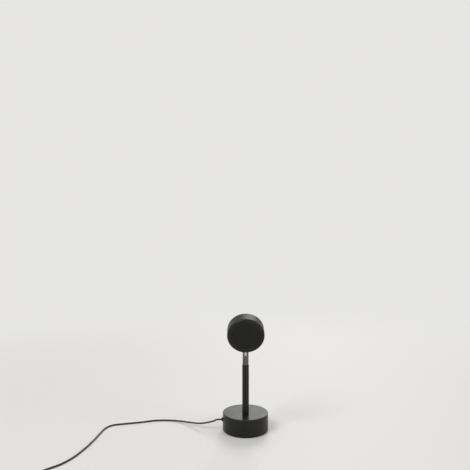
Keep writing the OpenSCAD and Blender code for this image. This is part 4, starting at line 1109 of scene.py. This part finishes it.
def build_lens():
    """The plano-convex lens: a flat disc, and on it the cap of a ball inside the ring."""
    lens, flat, s = turned("lens", BEAM), turned("lens_gasket", BEAM).low, sizes()
    dome = turned("lens_bezel", BEAM).inner - 0.3 * MM
    height = lens.high - flat
    ball = (dome**2 + height**2) / (2 * height)
    turn = np.linspace(math.asin(dome / ball), 0, 40)[:, None]
    cap = np.concatenate([ball * np.sin(turn), lens.high - ball + ball * np.cos(turn)], -1)
    disc = rounded((0, lens.low), (lens.outer, lens.low, s.fine_edge), (lens.outer, flat, s.fine_edge),
                   (dome + 0.2 * MM, flat), steps=4)
    dress(lathe("lens_glass", np.concatenate([disc, cap]), BEAM), "lens")


def build_reflector():
    """The reflector: its bowl's height is a parabola over its radius, and its back is a plain cone."""
    mirror = turned("reflector", BEAM)
    mouth, wall, rim = mirror.outer - 3.3 * MM, 0.8 * MM, mirror.high - 1 * MM
    throat, steep = mirror.low + 1.8 * MM, 0.28
    share = np.linspace(0, 1, 24)[:, None]
    rise = (mirror.high - throat) * ((1 - steep) * share + steep * share**2)
    bowl = np.concatenate([mirror.inner + (mouth - mirror.inner) * share, throat + rise], -1)
    neck = mirror.inner + wall
    back = rounded(
        (mouth, mirror.high), (mirror.outer, mirror.high), (mirror.outer, rim), (mouth + wall, rim),
        (neck, throat), (neck, mirror.low), (mirror.inner, mirror.low))
    dress(lathe("mirror_bowl", np.concatenate([bowl, back]), BEAM, ring=True), "reflector")


def build_chip():
    """The light chip: a raised dam round a shallow pool of resin."""
    chip, corner = turned("light_chip", BEAM), 0.1 * MM
    dam = 0.82 * chip.outer
    spun("chip_face", "light_chip", BEAM,
         (0, chip.high - 0.18 * MM), (dam - corner, chip.high - 0.2 * MM, corner), (dam, chip.high, corner),
         (chip.outer, chip.high, 0.2 * MM), (chip.outer, chip.low), (0, chip.low), steps=4, sides=72)


def finish_nodes():
    """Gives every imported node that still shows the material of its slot."""
    for name, node in frame["nodes"].items():
        if not node.hide_render:
            node.data.materials.clear()
            node.data.materials.append(material(SLOT_OF[name]))


# ---------------------------------------------------------------- operators


class LAMP_OT_studio(bpy.types.Operator):
    """Make the floor, the soft lights and the photograph's camera"""

    bl_idname = "lamp.studio"
    bl_label = "Studio"

    def execute(self, context):
        studio = context.scene.lamp_studio
        context.scene.view_settings.view_transform = "Standard"
        build_floor(studio)
        build_world(studio)
        for name, (place, size) in SOFT_LIGHTS.items():
            soft_light(name, getattr(studio, name), place, size)
        build_camera(studio)
        return {"FINISHED"}


class LAMP_OT_switch(bpy.types.Operator):
    """Make the push switch: its two shells, its nozzles and its button"""

    bl_idname = "lamp.switch"
    bl_label = "Switch"

    def execute(self, context):
        build_shells()
        build_nozzles()
        build_button()
        return {"FINISHED"}


class LAMP_OT_plug(bpy.types.Operator):
    """Make the plug: its grip, its strain relief and its metal sleeve"""

    bl_idname = "lamp.plug"
    bl_label = "Plug"

    def execute(self, context):
        build_grip()
        build_relief()
        bevelled("plug_shield", "plug_sleeve", sizes().sleeve_edge)
        return {"FINISHED"}


class LAMP_OT_lead(bpy.types.Operator):
    """Make the lead and its tie. The switch and the plug on it are made first"""

    bl_idname = "lamp.lead"
    bl_label = "Lead"

    def execute(self, context):
        lead = context.scene.lamp_lead
        piece, line = build_lead(lead)
        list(build_tie(lead))
        return {"FINISHED"}


class LAMP_OT_base(bpy.types.Operator):
    """Make the base, its foot and the outlet bush"""

    bl_idname = "lamp.base"
    bl_label = "Base"

    def execute(self, context):
        build_base()
        return {"FINISHED"}


class LAMP_OT_pole(bpy.types.Operator):
    """Make the pole and its bush"""

    bl_idname = "lamp.pole"
    bl_label = "Pole"

    def execute(self, context):
        build_pole()
        return {"FINISHED"}


class LAMP_OT_knuckle(bpy.types.Operator):
    """Make the tilting knuckle: its fork, tongue and screw"""

    bl_idname = "lamp.knuckle"
    bl_label = "Knuckle"

    def execute(self, context):
        s = sizes()
        bevelled("knuckle_fork", "neck_fork", s.fork_edge)
        bevelled("knuckle_tongue", "head_tongue", s.tongue_edge)
        bevelled("knuckle_screw", "tilt_screw", s.screw_edge)
        return {"FINISHED"}


class LAMP_OT_head(bpy.types.Operator):
    """Make the head's housing and its rear cover"""

    bl_idname = "lamp.head"
    bl_label = "Head"

    def execute(self, context):
        build_head()
        return {"FINISHED"}


class LAMP_OT_optics(bpy.types.Operator):
    """Make the front barrel, the lens and its ring, the reflector and the light chip"""

    bl_idname = "lamp.optics"
    bl_label = "Optics"

    def execute(self, context):
        build_barrel()
        build_lens()
        build_reflector()
        build_chip()
        return {"FINISHED"}


class LAMP_OT_finishes(bpy.types.Operator):
    """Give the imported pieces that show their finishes"""

    bl_idname = "lamp.finishes"
    bl_label = "Finishes"

    def execute(self, context):
        finish_nodes()
        return {"FINISHED"}


class LAMP_PT_panel(bpy.types.Panel):
    """Lists the lamp's steps and settings"""

    bl_idname = "LAMP_PT_panel"
    bl_label = "Sunset Lamp"
    bl_space_type = "VIEW_3D"
    bl_region_type = "UI"
    bl_category = "Sunset Lamp"

    def draw(self, context):
        for step in STEPS:
            self.layout.operator(step.bl_idname)
        for group in GROUPS:
            settings = getattr(context.scene, group)
            for key in settings.bl_rna.properties.keys():
                if key not in ("rna_type", "name"):
                    self.layout.prop(settings, key)


GROUPS = {
    "lamp_sizes": LampSizes, "lamp_finish": LampFinish, "lamp_lead": LampLead, "lamp_studio": LampStudio,
}
STEPS = (
    LAMP_OT_studio, LAMP_OT_switch, LAMP_OT_plug, LAMP_OT_lead, LAMP_OT_base,
    LAMP_OT_pole, LAMP_OT_knuckle, LAMP_OT_head, LAMP_OT_optics, LAMP_OT_finishes,
)
CLASSES = (*GROUPS.values(), *STEPS, LAMP_PT_panel)


def register():
    for cls in CLASSES:
        bpy.utils.register_class(cls)
    for name, group in GROUPS.items():
        setattr(bpy.types.Scene, name, PointerProperty(type=group))


def unregister():
    for name in GROUPS:
        delattr(bpy.types.Scene, name)
    for cls in reversed(CLASSES):
        bpy.utils.unregister_class(cls)


def main():
    register()
    for step in STEPS:
        getattr(bpy.ops.lamp, step.bl_idname.split(".")[1])()


if __name__ == "__main__":
    main()
